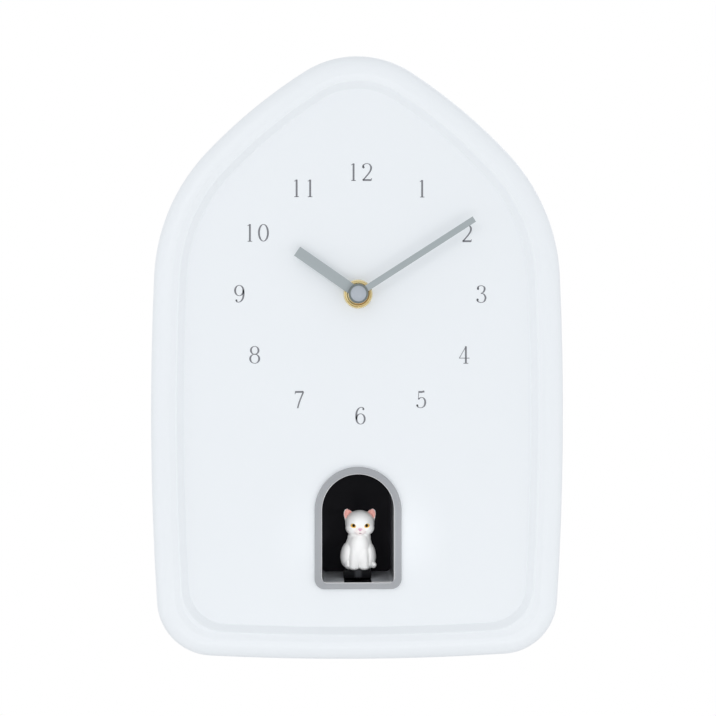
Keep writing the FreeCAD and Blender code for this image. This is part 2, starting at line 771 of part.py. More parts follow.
def rear_cover():
    body = house(0, 0, JOIN_Y)
    body = body.makeFillet(COVER_ROUND, edges_on(body, 0))
    inside = house(WALL, -WALL, JOIN_Y)
    inside = inside.makeFillet(COVER_ROUND - WALL, edges_on(inside, -WALL))
    body = body.cut(inside)
    lip_back = JOIN_Y + LIP_THICK
    lip_in = WALL + LIP_GAP + LIP_THICK
    lip = house(WALL + LIP_GAP, lip_back, JOIN_Y - LIP_DEPTH).cut(house(lip_in, lip_back, JOIN_Y - LIP_DEPTH))
    root = house(WALL / 2, lip_back, JOIN_Y).cut(house(lip_in, lip_back, JOIN_Y))
    skin = -WALL / 2
    well = WELL_HALF + THIN
    parts = [lip, root]
    parts.append(block(-well, well, skin, -WELL_DEEP, -well, well))
    parts.append(tray_block(TRAY_WALL, skin, TRAY_FLOOR - TRAY_FLOOR_T))
    parts.append(block(-KEYHOLE_BOX_X - THIN, KEYHOLE_BOX_X + THIN, skin, -WALL - KEYHOLE_BOX_DEEP - THIN,
                       KEYHOLE_UP - KEYHOLE_BOX_DOWN - THIN, KEYHOLE_UP + KEYHOLE_BOX_UP + THIN))
    parts += [rod_y(x, w, skin, JOIN_Y, PILLAR_R) for x, w in boss_places()]
    parts += [rod_y(x, w, skin, BOARD2_Y, 2 * STAKE_R) for x, w in stake_places()]
    parts += [rod_y(x, w, skin, BOARD2_Y - BOARD2_T - STAKE_PROUD, STAKE_R) for x, w in stake_places()]
    body = fuse_all(body, *parts)
    cuts = [keyhole_cut()]
    cuts.append(block(-WELL_HALF, WELL_HALF, OVER, -WELL_DEEP - OVER, -WELL_HALF, WELL_HALF))
    cuts.append(tray_block(0, OVER, TRAY_FLOOR))
    cuts.append(tray_block(TRAY_LEDGE, OVER, -DOOR_T))
    for x, w in boss_places():
        cuts.append(rod_y(x, w, OVER, -SCREW_WELL, SCREW_WELL_R))
        cuts.append(rod_y(x, w, OVER, JOIN_Y - OVER, SCREW_PASS_R))
    cuts += [rod_y(x, w, OVER, -WALL - OVER, GRILLE_R) for x, w in grille_places()]
    cuts += [rod_y(sign * BUMPER_X, BUMPER_W, OVER, -BUMPER_H, BUMPER_R + BUMPER_GAP) for sign in (-1, 1)]
    slot = SWITCH_NUB_HALF + SWITCH_TRAVEL + SLIDE_GAP
    cuts.append(block(SWITCH_X - slot, SWITCH_X + slot, OVER, -WALL - OVER,
                      SWITCH_W - SWITCH_NUB_HALF - SLIDE_GAP, SWITCH_W + SWITCH_NUB_HALF + SLIDE_GAP))
    cuts.append(rod_y(BUTTON_X, BUTTON_W, OVER, -WALL - OVER, BUTTON_R + BUTTON_FIT))
    return body.cut(Part.makeCompound(cuts))


def slotted_screw(x, w, seat, tip, radius, head_r, head_h, cross):
    """Screw driven from behind: seat is the underside of its head."""
    screw = fuse_all(rod_y(x, w, seat + head_h, seat, head_r), rod_y(x, w, seat, tip, radius))
    back = seat + head_h
    screw = screw.cut(block(x - head_r, x + head_r, back, back - SLOT_DEEP, w - SLOT_W / 2, w + SLOT_W / 2))
    if cross:
        screw = screw.cut(block(x - SLOT_W / 2, x + SLOT_W / 2, back, back - SLOT_DEEP, w - head_r, w + head_r))
    return screw


def cover_screws():
    seat = -SCREW_WELL
    tip = seat - SCREW_LONG
    return Part.makeCompound([slotted_screw(x, w, seat, tip, SCREW_R, SCREW_HEAD_R, SCREW_HEAD_H, True)
                              for x, w in boss_places()])


def wall_bumpers():
    return Part.makeCompound([rod_y(sign * BUMPER_X, BUMPER_W, 0, -BUMPER_H, BUMPER_R) for sign in (-1, 1)])


# ---- shaft parts and hands ----------------------------------------------------------------------------
def movement_gasket():
    return ring_y(0, 0, DIAL_BACK, MOVE_FRONT, GASKET_R, DIAL_HOLE_R)


def centre_bush():
    tube = rod_y(0, 0, MOVE_FLOOR + BUSH_FLANGE_H, DIAL_Y - BUSH_PROUD, BUSH_R)
    flange = rod_y(0, 0, MOVE_FLOOR + BUSH_FLANGE_H, MOVE_FLOOR, BUSH_FLANGE_R)
    bush = fuse_all(tube, flange)
    bush = bush.makeChamfer(BUSH_CHAMFER, edges_on(bush, DIAL_Y - BUSH_PROUD)[:1])
    return bush.cut(rod_y(0, 0, MOVE_FLOOR + 2 * BUSH_FLANGE_H, DIAL_Y - 2 * BUSH_PROUD, BUSH_BORE))


def movement_washer():
    return ring_y(0, 0, DIAL_Y, DIAL_Y - WASHER_H, WASHER_R, DIAL_HOLE_R)


def movement_nut():
    back = DIAL_Y - WASHER_H
    front = back - NUT_H
    nut = rod_y(0, 0, back, front, NUT_R)
    nut = nut.makeChamfer(NUT_CHAMFER, edges_on(nut, front))
    nut = nut.cut(rod_y(0, 0, back, front, BUSH_R + FIT))
    slot = block(-NUT_SLOT / 2, NUT_SLOT / 2, front, front + NUT_SLOT_DEEP, -NUT_R, NUT_R)
    slot.rotate(at(0, 0, 0), V(0, 1, 0), NUT_TURN)
    return nut.cut(slot)


def hand(angle, long, wide, hub_r, hole_r, back):
    """Square-ended bar hand at its clock angle."""
    bar = block(-wide / 2, wide / 2, back, back - HAND_THICK, 0, long)
    bar.rotate(at(0, 0, 0), V(0, 1, 0), angle)
    plate = fuse_all(bar, rod_y(0, 0, back, back - HAND_THICK, hub_r))
    return plate.cut(rod_y(0, 0, back, back - HAND_THICK, hole_r))


def hour_hand():
    return hand(HOUR_ANGLE, HOUR_LONG, HOUR_WIDE, HOUR_HUB_R, TUBE_R + SNUG, HOUR_HAND_Y)


def minute_hand():
    return hand(MINUTE_ANGLE, MINUTE_LONG, MINUTE_WIDE, MINUTE_HUB_R, ARBOR_R + SNUG, MINUTE_HAND_Y)


def hand_cap():
    """Low dome with a blind bore that grips the arbor."""
    crown = (CAP_R ** 2 + CAP_H ** 2) / (2 * CAP_H)
    centre = MINUTE_FACE_Y - CAP_H + crown
    dome = Part.makeSphere(crown, at(0, centre, 0))
    keep = rod_y(0, 0, MINUTE_FACE_Y, MINUTE_FACE_Y - CAP_H, CAP_R)
    cap = dome.common(keep)
    return cap.cut(rod_y(0, 0, MINUTE_FACE_Y, MINUTE_FACE_Y - CAP_BORE, ARBOR_R + SNUG))


# ---- movement -------------------------------------------------------------------------------------------
def arbor_places():
    return [MOTION, THIRD, SECOND, BETWEEN, ROTOR]


def rounded_case(y0, y1):
    """Square block of the movement's size with its four long corners rounded."""
    body = block(-MOVE_HALF, MOVE_HALF, y0, y1, -MOVE_HALF, MOVE_HALF)
    corners = [e for e in body.Edges if abs(e.Vertexes[0].Point.y - e.Vertexes[-1].Point.y) > THIN]
    return body.makeFillet(THIN, corners)


def movement_front_case():
    body = rounded_case(MOVE_FRONT, MOVE_PART)
    half = MOVE_HALF - MOVE_WALL
    body = body.cut(block(-half, half, MOVE_FLOOR, MOVE_PART, BAY_TOP + BAY_RIB, half))
    body = body.cut(block(-half, half, MOVE_FLOOR, MOVE_PART, -half, BAY_TOP))
    extra = []
    for sign in (-1, 1):
        tab = block(sign * MOVE_HALF, sign * (MOVE_HALF + CLIP_X), MOVE_PART - CLIP_W0, MOVE_BACK - CLIP_X * 2,
                    CLIP_W0, CLIP_W1)
        extra.append(tab)
    post_x = (BOARD_X0 + BOARD_X1) / 2
    for w in (BOARD_W0 + 2 * POST_R, BOARD_W1 - 2 * POST_R):
        extra.append(rod_y(post_x, w, MOVE_FLOOR - MOVE_WALL / 2, MOVE_FLOOR + BOARD_Y, POST_R))
    body = fuse_all(body, *extra)
    cuts = [rod_y(0, 0, MOVE_FLOOR + CLIP_X, MOVE_FRONT - CLIP_X, BUSH_R + FIT)]
    cuts += [rod_y(x, w, MOVE_FLOOR, MOVE_FLOOR - PIVOT_LONG, PIVOT_R + FIT) for x, w in arbor_places()]
    cuts.append(rod_y(KNOB[0], KNOB[1], MOVE_FLOOR, MOVE_FLOOR - PIVOT_LONG, PIVOT_R + FIT))
    return body.cut(Part.makeCompound(cuts))


def movement_rear_case():
    body = rounded_case(MOVE_PART, MOVE_BACK)
    half = MOVE_HALF - MOVE_WALL
    body = body.cut(block(-half, half, MOVE_PART, MOVE_ROOF, BAY_TOP + BAY_RIB, half))
    cuts = [block(-half, half, MOVE_PART, MOVE_BACK, -half, BAY_TOP)]
    cuts += [rod_y(x, w, MOVE_ROOF, MOVE_ROOF + PIVOT_LONG, PIVOT_R + FIT) for x, w in [AXIS] + arbor_places()]
    cuts.append(rod_y(KNOB[0], KNOB[1], MOVE_ROOF - THIN, MOVE_BACK + THIN, KNOB_STEM + FIT))
    return body.cut(Part.makeCompound(cuts))


def axle(place):
    """Thin arbor with pivots in both case halves."""
    x, w = place
    body = rod_y(x, w, MOVE_FLOOR + END_PLAY, MOVE_ROOF - END_PLAY, AXLE_R)
    pivots = rod_y(x, w, MOVE_FLOOR - PIVOT_LONG + END_PLAY, MOVE_ROOF + PIVOT_LONG - END_PLAY, PIVOT_R)
    return body.fuse(pivots)


def wheel(place, teeth, module, phase, span, leaf_teeth, leaf_module, leaf_phase, leaf_span):
    disc = gear_y(teeth, module, phase, place, *layer(span))
    leaf = gear_y(leaf_teeth, leaf_module, leaf_phase, place, *layer(leaf_span))
    return fuse_all(axle(place), disc, leaf)


def motion_wheel():
    return wheel(MOTION, MOTION_T, MOTION_MOD, MOTION_PHASE, CANNON_LAYER,
                 MOTION_PINION_T, HOUR_MOD, MOTION_LEAF_PHASE, HOUR_LAYER)


def third_wheel():
    return wheel(THIRD, THIRD_T, FINE_MOD, THIRD_PHASE, THIRD_LAYER,
                 LEAF_T, FINE_MOD, THIRD_LEAF_PHASE, CENTRE_LAYER)


def second_wheel():
    return wheel(SECOND, SECOND_T, SECOND_MOD, SECOND_PHASE, SECOND_LAYER,
                 LEAF_T, FINE_MOD, SECOND_LEAF_PHASE, THIRD_LAYER)


def intermediate_wheel():
    return wheel(BETWEEN, BETWEEN_T, FINE_MOD, BETWEEN_PHASE, BETWEEN_LAYER,
                 LEAF_T, SECOND_MOD, BETWEEN_LEAF_PHASE, SECOND_LAYER)


def rotor_pinion():
    leaf = gear_y(LEAF_T, FINE_MOD, ROTOR_PHASE, ROTOR, *layer(BETWEEN_LAYER))
    return fuse_all(axle(ROTOR), leaf)


def rotor_magnet():
    y0, y1 = layer(MAGNET_LAYER)
    return ring_y(ROTOR[0], ROTOR[1], y0, y1, MAGNET_R, AXLE_R + SNUG)


def hour_wheel():
    y0, y1 = layer(HOUR_LAYER)
    disc = gear_y(HOUR_T, HOUR_MOD, HOUR_PHASE, AXIS, y0, y1)
    tube = rod_y(0, 0, y1, HOUR_HAND_Y - HAND_THICK, TUBE_R)
    body = fuse_all(disc, tube)
    return body.cut(rod_y(0, 0, y1, HOUR_HAND_Y - HAND_THICK, TUBE_BORE))


def minute_arbor():
    y0, y1 = layer(CANNON_LAYER)
    c0, c1 = layer(CENTRE_LAYER)
    leaf = gear_y(CANNON_T, MOTION_MOD, CANNON_PHASE, AXIS, y0, y1)
    shaft = rod_y(0, 0, y1, MINUTE_FACE_Y - ARBOR_PROUD, ARBOR_R)
    seat = rod_y(0, 0, c1, y1, 2 * AXLE_R)
    tail = rod_y(0, 0, MOVE_ROOF - END_PLAY, c1, AXLE_R)
    pivot = rod_y(0, 0, MOVE_ROOF + PIVOT_LONG - END_PLAY, c1, PIVOT_R)
    return fuse_all(shaft, leaf, seat, tail, pivot)


def centre_wheel():
    y0, y1 = layer(CENTRE_LAYER)
    disc = gear_y(CENTRE_T, FINE_MOD, CENTRE_PHASE, AXIS, y0, y1)
    return disc.cut(rod_y(0, 0, y0, y1, 2 * AXLE_R + SNUG))


def setting_knob():
    y0, y1 = layer(CANNON_LAYER)
    back = MOVE_BACK + KNOB_GAP
    leaf = gear_y(KNOB_T, MOTION_MOD, KNOB_PHASE, KNOB, y0, y1)
    stem = rod_y(KNOB[0], KNOB[1], back, y0, KNOB_STEM)
    nose = rod_y(KNOB[0], KNOB[1], y0, MOVE_FLOOR + END_PLAY, AXLE_R)
    pivot = rod_y(KNOB[0], KNOB[1], y0, MOVE_FLOOR - PIVOT_LONG + END_PLAY, PIVOT_R)
    head = rod_y(KNOB[0], KNOB[1], back + KNOB_H, back, KNOB_R)
    head = head.makeChamfer(RIB_R, edges_on(head, back + KNOB_H))
    body = fuse_all(head, stem, nose, pivot, leaf)
    grooves = []
    for index in range(RIBS):
        angle = 2 * math.pi * index / RIBS
        x = KNOB[0] + KNOB_R * math.cos(angle)
        w = KNOB[1] + KNOB_R * math.sin(angle)
        grooves.append(rod_y(x, w, back + KNOB_H, back, RIB_R))
    return body.cut(Part.makeCompound(grooves))


def stator():
    y0, y1 = layer(STATOR_LAYER)
    plate = block(STATOR_LEFT, STATOR_RIGHT, y0, y1, STATOR_LOW, STATOR_TOP)
    window = block(STATOR_LEFT, STATOR_EDGE, y0, y1, STATOR_ARM, STATOR_ARM_TOP)
    core = block(COIL_X - CORE_HALF, COIL_X + CORE_HALF, y0, y1, STATOR_LOW, STATOR_TOP)
    plate = fuse_all(plate.cut(window), core)
    return plate.cut(rod_y(ROTOR[0], ROTOR[1], y0, y1, MAGNET_R + STATOR_GAP))


def coil_bobbin():
    y0, y1 = layer(STATOR_LAYER)
    y = (y0 + y1) / 2
    body = fuse_all(rod_z(COIL_X, y, COIL_W0, COIL_W1, BOBBIN_R),
                    rod_z(COIL_X, y, COIL_W0, COIL_W0 + BOBBIN_FLANGE, BOBBIN_FLANGE_R),
                    rod_z(COIL_X, y, COIL_W1 - BOBBIN_FLANGE, COIL_W1, BOBBIN_FLANGE_R))
    hole = CORE_HALF + CORE_GAP
    return body.cut(block(COIL_X - hole, COIL_X + hole, y0 - CORE_GAP, y1 + CORE_GAP, COIL_W0, COIL_W1))


def coil_winding():
    y0, y1 = layer(STATOR_LAYER)
    y = (y0 + y1) / 2
    low, high = COIL_W0 + BOBBIN_FLANGE, COIL_W1 - BOBBIN_FLANGE
    return rod_z(COIL_X, y, low, high, COIL_R).cut(rod_z(COIL_X, y, low, high, BOBBIN_R + SNUG))


def movement_board():
    front = MOVE_FLOOR + BOARD_Y
    return block(BOARD_X0, BOARD_X1, front, front + BOARD_T, BOARD_W0, BOARD_W1)


def movement_chip():
    back = MOVE_FLOOR + BOARD_Y + BOARD_T
    x = (BOARD_X0 + BOARD_X1) / 2
    body = rod_y(x, 0, back + CHIP_H, back, CHIP_R)
    return body.makeFillet(CHIP_ROUND, edges_on(body, back + CHIP_H))


def quartz_crystal():
    back = MOVE_FLOOR + BOARD_Y + BOARD_T
    x = (BOARD_X0 + BOARD_X1) / 2
    low = 2 * CHIP_R
    can = rod_z(x, back + CRYSTAL_R + FIT, low, low + CRYSTAL_LONG, CRYSTAL_R)
    half = CRYSTAL_R / 2
    foot = block(x - half, x + half, back, back + CRYSTAL_R, low - CRYSTAL_R, low + CRYSTAL_R)
    return fuse_all(can, foot)


def cell(x, y, w, sign):
    """Dry cell lying along X: its nub points along sign."""
    half = CELL_LONG / 2
    can_end = half - CELL_NUB
    x0, x1 = sorted((x - sign * half, x + sign * can_end))
    can = rod_x(y, w, x0, x1, CELL_R)
    can = can.makeFillet(CELL_ROUND, [e for e in can.Edges if len(e.Vertexes) == 1])
    nub = rod_x(y, w, x + sign * (can_end - THIN), x + sign * half, CELL_NUB_R)
    return fuse_all(can, nub)


def clock_battery():
    return cell(0, MOVE_BACK - CELL_R - END_PLAY, CELL_W, 1)


def leaf_contact(wall_x, cell_x, y, w):
    """Sprung strip: flat on the wall, bowed out to the cell's end."""
    sign = 1 if cell_x > wall_x else -1
    t = sign * CONTACT_T
    reach = cell_x - wall_x
    a, b = CONTACT_HALF, CONTACT_HALF / 3
    profile = [(0, -a), (t, -a), (t, a - 2 * CONTACT_T), (reach - t, b),
               (reach, -b), (reach, b), (t, a), (0, a)]
    corners = [at(wall_x + dx, y - CONTACT_HALF / 2, w + dw) for dx, dw in profile]
    face = Part.Face(Part.makePolygon(corners + corners[:1]))
    return face.extrude(V(0, CONTACT_HALF, 0))


def movement_contacts():
    y = MOVE_BACK - CELL_R - END_PLAY
    wall = MOVE_HALF - MOVE_WALL
    return Part.makeCompound([leaf_contact(sign * wall, sign * CELL_LONG / 2, y, CELL_W) for sign in (-1, 1)])


# ---- window, runway, cat ---------------------------------------------------------------------------------
def window_frame():
    front = DIAL_Y - BEZEL_PROUD
    bezel = arch(OPEN_HALF + BEZEL_SIDE, OPEN_TOP + BEZEL_BROW, OPEN_LOW - BEZEL_SILL, BEZEL_FOOT_R,
                 DIAL_Y, front)
    bezel = bezel.makeFillet(BEZEL_ROUND, edges_on(bezel, front))
    body = fuse_all(bezel, sleeve_outer(0, SLEEVE_BACK, DIAL_Y))
    body = body.cut(arch(OPEN_HALF, OPEN_TOP, OPEN_LOW, OPEN_FOOT_R, SLEEVE_BACK + OVER, front - OVER))
    body = body.cut(block(-RUN_SLOT_HALF, RUN_SLOT_HALF, DIAL_Y + RUN_SLOT_FRONT, SLEEVE_BACK + OVER,
                          SLEEVE_LOW - OVER, OPEN_LOW + OVER))
    rim = inner_edges_on(body, front)
    return body.makeFillet(BEZEL_ROUND / 2, rim)


def niche_back():
    """Cap over the sleeve's back end, with a gate for the runway below."""
    rim = SLEEVE_BACK - NICHE_RIM
    cap = sleeve_outer(NICHE_GAP + NICHE_T, rim, SLEEVE_BACK + NICHE_T)
    cap = cap.cut(sleeve_outer(NICHE_GAP, rim, SLEEVE_BACK))
    gate = RUN_FLANGE_HALF + SLIDE_GAP
    return cap.cut(block(-gate, gate, rim - OVER, SLEEVE_BACK + NICHE_T + OVER,
                         OPEN_LOW - RUN_DROP / 2, RUN_LOW - 2 * NICHE_T))


def carriage_track():
    front = DIAL_BACK + RUN_FRONT_GAP
    back = SLEEVE_BACK
    top = block(-RUN_HALF, RUN_HALF, DIAL_Y + RUN_SLOT_FRONT + SLIDE_GAP, back, SLEEVE_LOW, RUN_TOP)
    flange = block(-RUN_FLANGE_HALF, RUN_FLANGE_HALF, front, back, RUN_LOW, SLEEVE_LOW)
    inner = BLOCK_HALF + SLIDE_GAP
    low = LIP_TOP - CHEEK_LIP
    outer = inner + CHEEK
    parts = [flange]
    for sign in (-1, 1):
        parts.append(block(sign * inner, sign * outer, front, back, low, RUN_LOW))
        parts.append(block(sign * (RACK_HALF + 2 * SLIDE_GAP), sign * outer, front, back, low, LIP_TOP))
    body = fuse_all(top, *parts)
    groove_front = BLADE_FRONT - TRAVEL - GROOVE_FRONT_GAP
    return body.cut(block(-GROOVE_HALF, GROOVE_HALF, groove_front, back + OVER, RUN_LOW - OVER, RUN_TOP + OVER))


def rack_points():
    """Toothed underside in (y, w), with a gap over the pinion's top tooth."""
    pitch = math.pi * DRIVE_MOD
    half = pitch / 4 * (1 - SLACK)
    lean = math.tan(PRESSURE)
    tip = half - (RACK_PITCH - RACK_TIP) * lean
    root = half + (RACK_ROOT - RACK_PITCH) * lean
    points = [(CARRIAGE_FRONT, BLOCK_LOW), (CARRIAGE_FRONT, RACK_ROOT)]
    first = math.ceil((CARRIAGE_FRONT + root - DRIVE_Y) / pitch - 0.5)
    last = math.floor((CARRIAGE_BACK - root - DRIVE_Y) / pitch - 0.5)
    for index in range(first, last + 1):
        y = DRIVE_Y + (index + 0.5) * pitch
        points += [(y - root, RACK_ROOT), (y - tip, RACK_TIP), (y + tip, RACK_TIP), (y + root, RACK_ROOT)]
    points += [(CARRIAGE_BACK, RACK_ROOT), (CARRIAGE_BACK, BLOCK_LOW)]
    return points


def cat_carriage():
    base = RUN_TOP + PLINTH_LIFT
    top = base + PLINTH_H
    plinth = block(-PLINTH_HALF, PLINTH_HALF, CAT_Y - PLINTH_DEEP, CAT_Y + PLINTH_DEEP, base, top)
    upper = AXIS_Z + top - PLINTH_H / 2
    rims = [e for e in plinth.Edges if max(v.Point.z for v in e.Vertexes) > upper]
    plinth = plinth.makeFillet(PLINTH_ROUND, rims)
    blade = block(-BLADE_HALF, BLADE_HALF, BLADE_FRONT, BLADE_BACK, BLOCK_TOP, base)
    runner = block(-BLOCK_HALF, BLOCK_HALF, CARRIAGE_FRONT, CARRIAGE_BACK, BLOCK_LOW, BLOCK_TOP)
    rack = plate_x(rack_points(), -RACK_HALF, RACK_HALF)
    return fuse_all(plinth, blade, runner, rack)


def cat_foot_w():
    return RUN_TOP + PLINTH_LIFT + PLINTH_H


def cat_figure():
    """Sitting cat: pear body, round head, two ears, two front legs and a curled tail."""
    foot = cat_foot_w()
    rings = [(CAT_FOOT_R, 0.0), (CAT_HIP_R, CAT_HIP_H), (CAT_CHEST_R, CAT_CHEST_H), (CAT_NECK_R, CAT_NECK_H)]
    up = V(0, 0, 1)
    body = None
    for (r0, h0), (r1, h1) in zip(rings, rings[1:]):
        slab = Part.makeCone(r0, r1, h1 - h0, at(CAT_X, CAT_Y, foot + h0), up)
        body = slab if body is None else body.fuse(slab)
    lean = V(1, 2, 0)
    parts = [Part.makeSphere(HEAD_R, at(CAT_X, CAT_Y, foot + HEAD_H), lean)]
    for sign in (-1, 1):
        leg_x = CAT_X + sign * LEG_X
        ear_foot = at(CAT_X + sign * EAR_X, CAT_Y, foot + EAR_H)
        parts.append(Part.makeCone(EAR_R, EAR_R / 6, CAT_TALL - EAR_H, ear_foot, up))
        parts.append(Part.makeCylinder(LEG_R, LEG_H, at(leg_x, CAT_Y - LEG_Y, foot), up))
        paw = Part.makeCylinder(PAW_R, PAW_R, at(leg_x, CAT_Y - LEG_Y - PAW_R / 3, foot), up)
        upper = AXIS_Z + foot + PAW_R / 2
        rims = [e for e in paw.Edges if len(e.Vertexes) == 1 and e.Vertexes[0].Point.z > upper]
        parts.append(paw.makeFillet(PAW_R / 2, rims))
    parts.append(rod_x(CAT_Y - LEG_Y + TAIL_R, foot + TAIL_R, CAT_X + LEG_X, CAT_X + CAT_FOOT_R, TAIL_R))
    return body.multiFuse(parts)


# ---- cat drive ----------------------------------------------------------------------------------------------
def fixing_places():
    left = PLATE_LEFT[0] - FIXING_IN
    right = PLATE_RIGHT[1] + FIXING_IN
    return [(x, PLATE_TOP - down) for x in (left, right) for down in FIXING_IN_W]


def drive_chassis():
    front = DIAL_BACK + FLANGE_STAND
    flange_back = front + THIN
    side = [(front, FLANGE_TOP), (DRIVE_Y, PLATE_TOP), (PLATE_BACK, PLATE_TOP), (PLATE_BACK, PLATE_LOW),
            (DRIVE_Y - PLATE_TOE, PLATE_LOW), (front, FLANGE_LOW)]
    parts = [plate_x(side, *PLATE_RIGHT)]
    parts.append(block(PLATE_LEFT[0], PLATE_RIGHT[1], DRIVE_Y - MOTOR_R, PLATE_BACK,
                       PLATE_LOW, PLATE_LOW - THIN))
    for edge, reach in ((PLATE_LEFT[0], -FLANGE_WIDE), (PLATE_RIGHT[1], FLANGE_WIDE)):
        parts.append(block(edge, edge + reach, front, flange_back, FLANGE_LOW, FLANGE_TOP))
    body = fuse_all(plate_x(side, *PLATE_LEFT), *parts)
    cuts = []
    for y, w in (DRIVE, REDUCE):
        cuts.append(rod_x(y, w, PLATE_LEFT[0] - OVER, PLATE_RIGHT[1] + OVER, SPINDLE_R + FIT))
    cuts.append(rod_x(MOTOR[0], MOTOR[1], PLATE_RIGHT[0] - OVER, PLATE_RIGHT[1] + OVER, MOTOR_SHAFT_HOLE))
    cuts += [rod_y(x, w, flange_back + OVER, front - OVER, FIXING_PASS_R) for x, w in fixing_places()]
    return body.cut(Part.makeCompound(cuts))


def chassis_screws():
    seat = DIAL_BACK + FLANGE_STAND + THIN
    tip = seat - FIXING_LONG
    return Part.makeCompound([slotted_screw(x, w, seat, tip, FIXING_R, FIXING_HEAD_R, FIXING_HEAD, False)
                              for x, w in fixing_places()])


def spindle(place):
    return rod_x(place[0], place[1], PLATE_LEFT[0] + END_PLAY, PLATE_RIGHT[1] - END_PLAY, SPINDLE_R)


def drive_gear():
    rack_leaf = gear_x(RACK_PINION_T, DRIVE_MOD, RACK_PINION_PHASE, DRIVE, *RACK_PINION_X)
    disc = gear_x(DRIVE_WHEEL_T, DRIVE_MOD, DRIVE_PHASE, DRIVE, *DRIVE_WHEEL_X)
    hub = rod_x(DRIVE[0], DRIVE[1], RACK_PINION_X[1], DRIVE_WHEEL_X[0], 2 * SPINDLE_R)
    return fuse_all(spindle(DRIVE), rack_leaf, disc, hub)


def reduction_gear():
    leaf = gear_x(DRIVE_LEAF_T, DRIVE_MOD, REDUCE_LEAF_PHASE, REDUCE, *DRIVE_LEAF_X)
    disc = gear_x(DRIVE_WHEEL_T, DRIVE_MOD, REDUCE_PHASE, REDUCE, *SECOND_WHEEL_X)
    hub = rod_x(REDUCE[0], REDUCE[1], DRIVE_LEAF_X[1], SECOND_WHEEL_X[0], 2 * SPINDLE_R)
    return fuse_all(spindle(REDUCE), leaf, disc, hub)


def motor_pinion():
    leaf = gear_x(DRIVE_LEAF_T, DRIVE_MOD, MOTOR_PHASE, MOTOR, *MOTOR_LEAF_X)
    shaft = rod_x(MOTOR[0], MOTOR[1], MOTOR_LEAF_X[0] - END_PLAY, PLATE_RIGHT[1] + MOTOR_CAP, SPINDLE_R)
    return fuse_all(shaft, leaf)


def motor_flats(x0, x1):
    """Block that takes the motor's round section down to its two flats."""
    flat = MOTOR_R - MOTOR_ROUND
    return block(x0, x1, MOTOR[0] - MOTOR_R, MOTOR[0] + MOTOR_R, MOTOR[1] - flat, MOTOR[1] + flat)


def motor_can():
    x0 = PLATE_RIGHT[1]
    x1 = x0 + MOTOR_LONG - MOTOR_CAP
    body = rod_x(MOTOR[0], MOTOR[1], x0, x1, MOTOR_R)
    rims = [e for e in body.Edges if len(e.Vertexes) == 1 and e.Vertexes[0].Point.x < x0 + END_PLAY]
    body = body.makeFillet(MOTOR_ROUND, rims).common(motor_flats(x0, x1))
    return body.cut(rod_x(MOTOR[0], MOTOR[1], x0, x0 + MOTOR_CAP + END_PLAY, SPINDLE_R + FIT))


def motor_end_cap():
    x1 = PLATE_RIGHT[1] + MOTOR_LONG - MOTOR_CAP
    x2 = x1 + MOTOR_CAP
    body = rod_x(MOTOR[0], MOTOR[1], x1, x2, MOTOR_R - END_PLAY).common(motor_flats(x1, x2))
    tags = []
    for side in (-1, 1):
        y = MOTOR[0] + side * MOTOR_R / 2
        tags.append(block(x2, x2 + THIN, y - THIN, y + THIN, MOTOR[1] - END_PLAY, MOTOR[1] + END_PLAY))
    return fuse_all(body, *tags)


def end_switches():
    """Two small snap switches on the outside of the left chassis plate."""
    x1 = PLATE_LEFT[0]
    top = PLATE_TOP - THIN
    half = MOTOR_R / 2
    switches = []
    for y in (DRIVE_Y, DRIVE_Y + END_SWITCH_PITCH):
        body = block(x1, x1 - END_SWITCH_DEEP, y - half, y + half, top, top - END_SWITCH_DEEP)
        stud = rod_z(x1 - END_SWITCH_DEEP / 2, y, top - END_PLAY, top + THIN / 2, THIN / 2)
        switches.append(fuse_all(body, stud))
    return Part.makeCompound(switches)


# ---- sound and battery parts ---------------------------------------------------------------------------------
def sound_batteries():
    return Part.makeCompound([cell(TRAY_X, SOUND_CELL_Y, TRAY_W + s * SOUND_CELL_STEP, s) for s in (-1, 1)])


def sound_contacts():
    pieces = []
    for row in (-1, 1):
        for side in (-1, 1):
            pieces.append(leaf_contact(TRAY_X + side * TRAY_HALF_X, TRAY_X + side * CELL_LONG / 2,
                                       SOUND_CELL_Y, TRAY_W + row * SOUND_CELL_STEP))
    return Part.makeCompound(pieces)


def battery_door():
    door = tray_block(TRAY_LEDGE - DOOR_GAP, 0, -DOOR_T + DOOR_SUNK)
    half = TRAY_HALF_W / 2
    grip = []
    for rib in range(GRIP_RIBS):
        x = TRAY_X + TRAY_HALF_X - GRIP_IN - rib * GRIP_PITCH
        grip.append(block(x, x - GRIP_WIDE, 0, -GRIP_DEEP, TRAY_W - half, TRAY_W + half))
    return door.cut(Part.makeCompound(grip))


def speaker_frame():
    face = -WALL
    rim = SPEAKER_R - SPEAKER_RIM
    throat = face - SPEAKER_BASKET
    profile = [(SPEAKER_R, face), (SPEAKER_R, face - SPEAKER_FACE), (rim, face - SPEAKER_FACE - SPEAKER_SKIN),
               (SPEAKER_THROAT_R, throat), (THIN, throat), (THIN, throat + SPEAKER_SKIN),
               (SPEAKER_THROAT_R - SPEAKER_SKIN, throat + SPEAKER_SKIN), (rim, face - SPEAKER_FACE), (rim, face)]
    return spun_y(profile, SPEAKER_X, SPEAKER_W)


def speaker_magnet():
    throat = -WALL - SPEAKER_BASKET
    body = rod_y(SPEAKER_X, SPEAKER_W, throat, throat - MAGNET_BIG_H, MAGNET_BIG_R)
    return body.makeChamfer(MAGNET_CHAMFER, edges_on(body, throat - MAGNET_BIG_H))


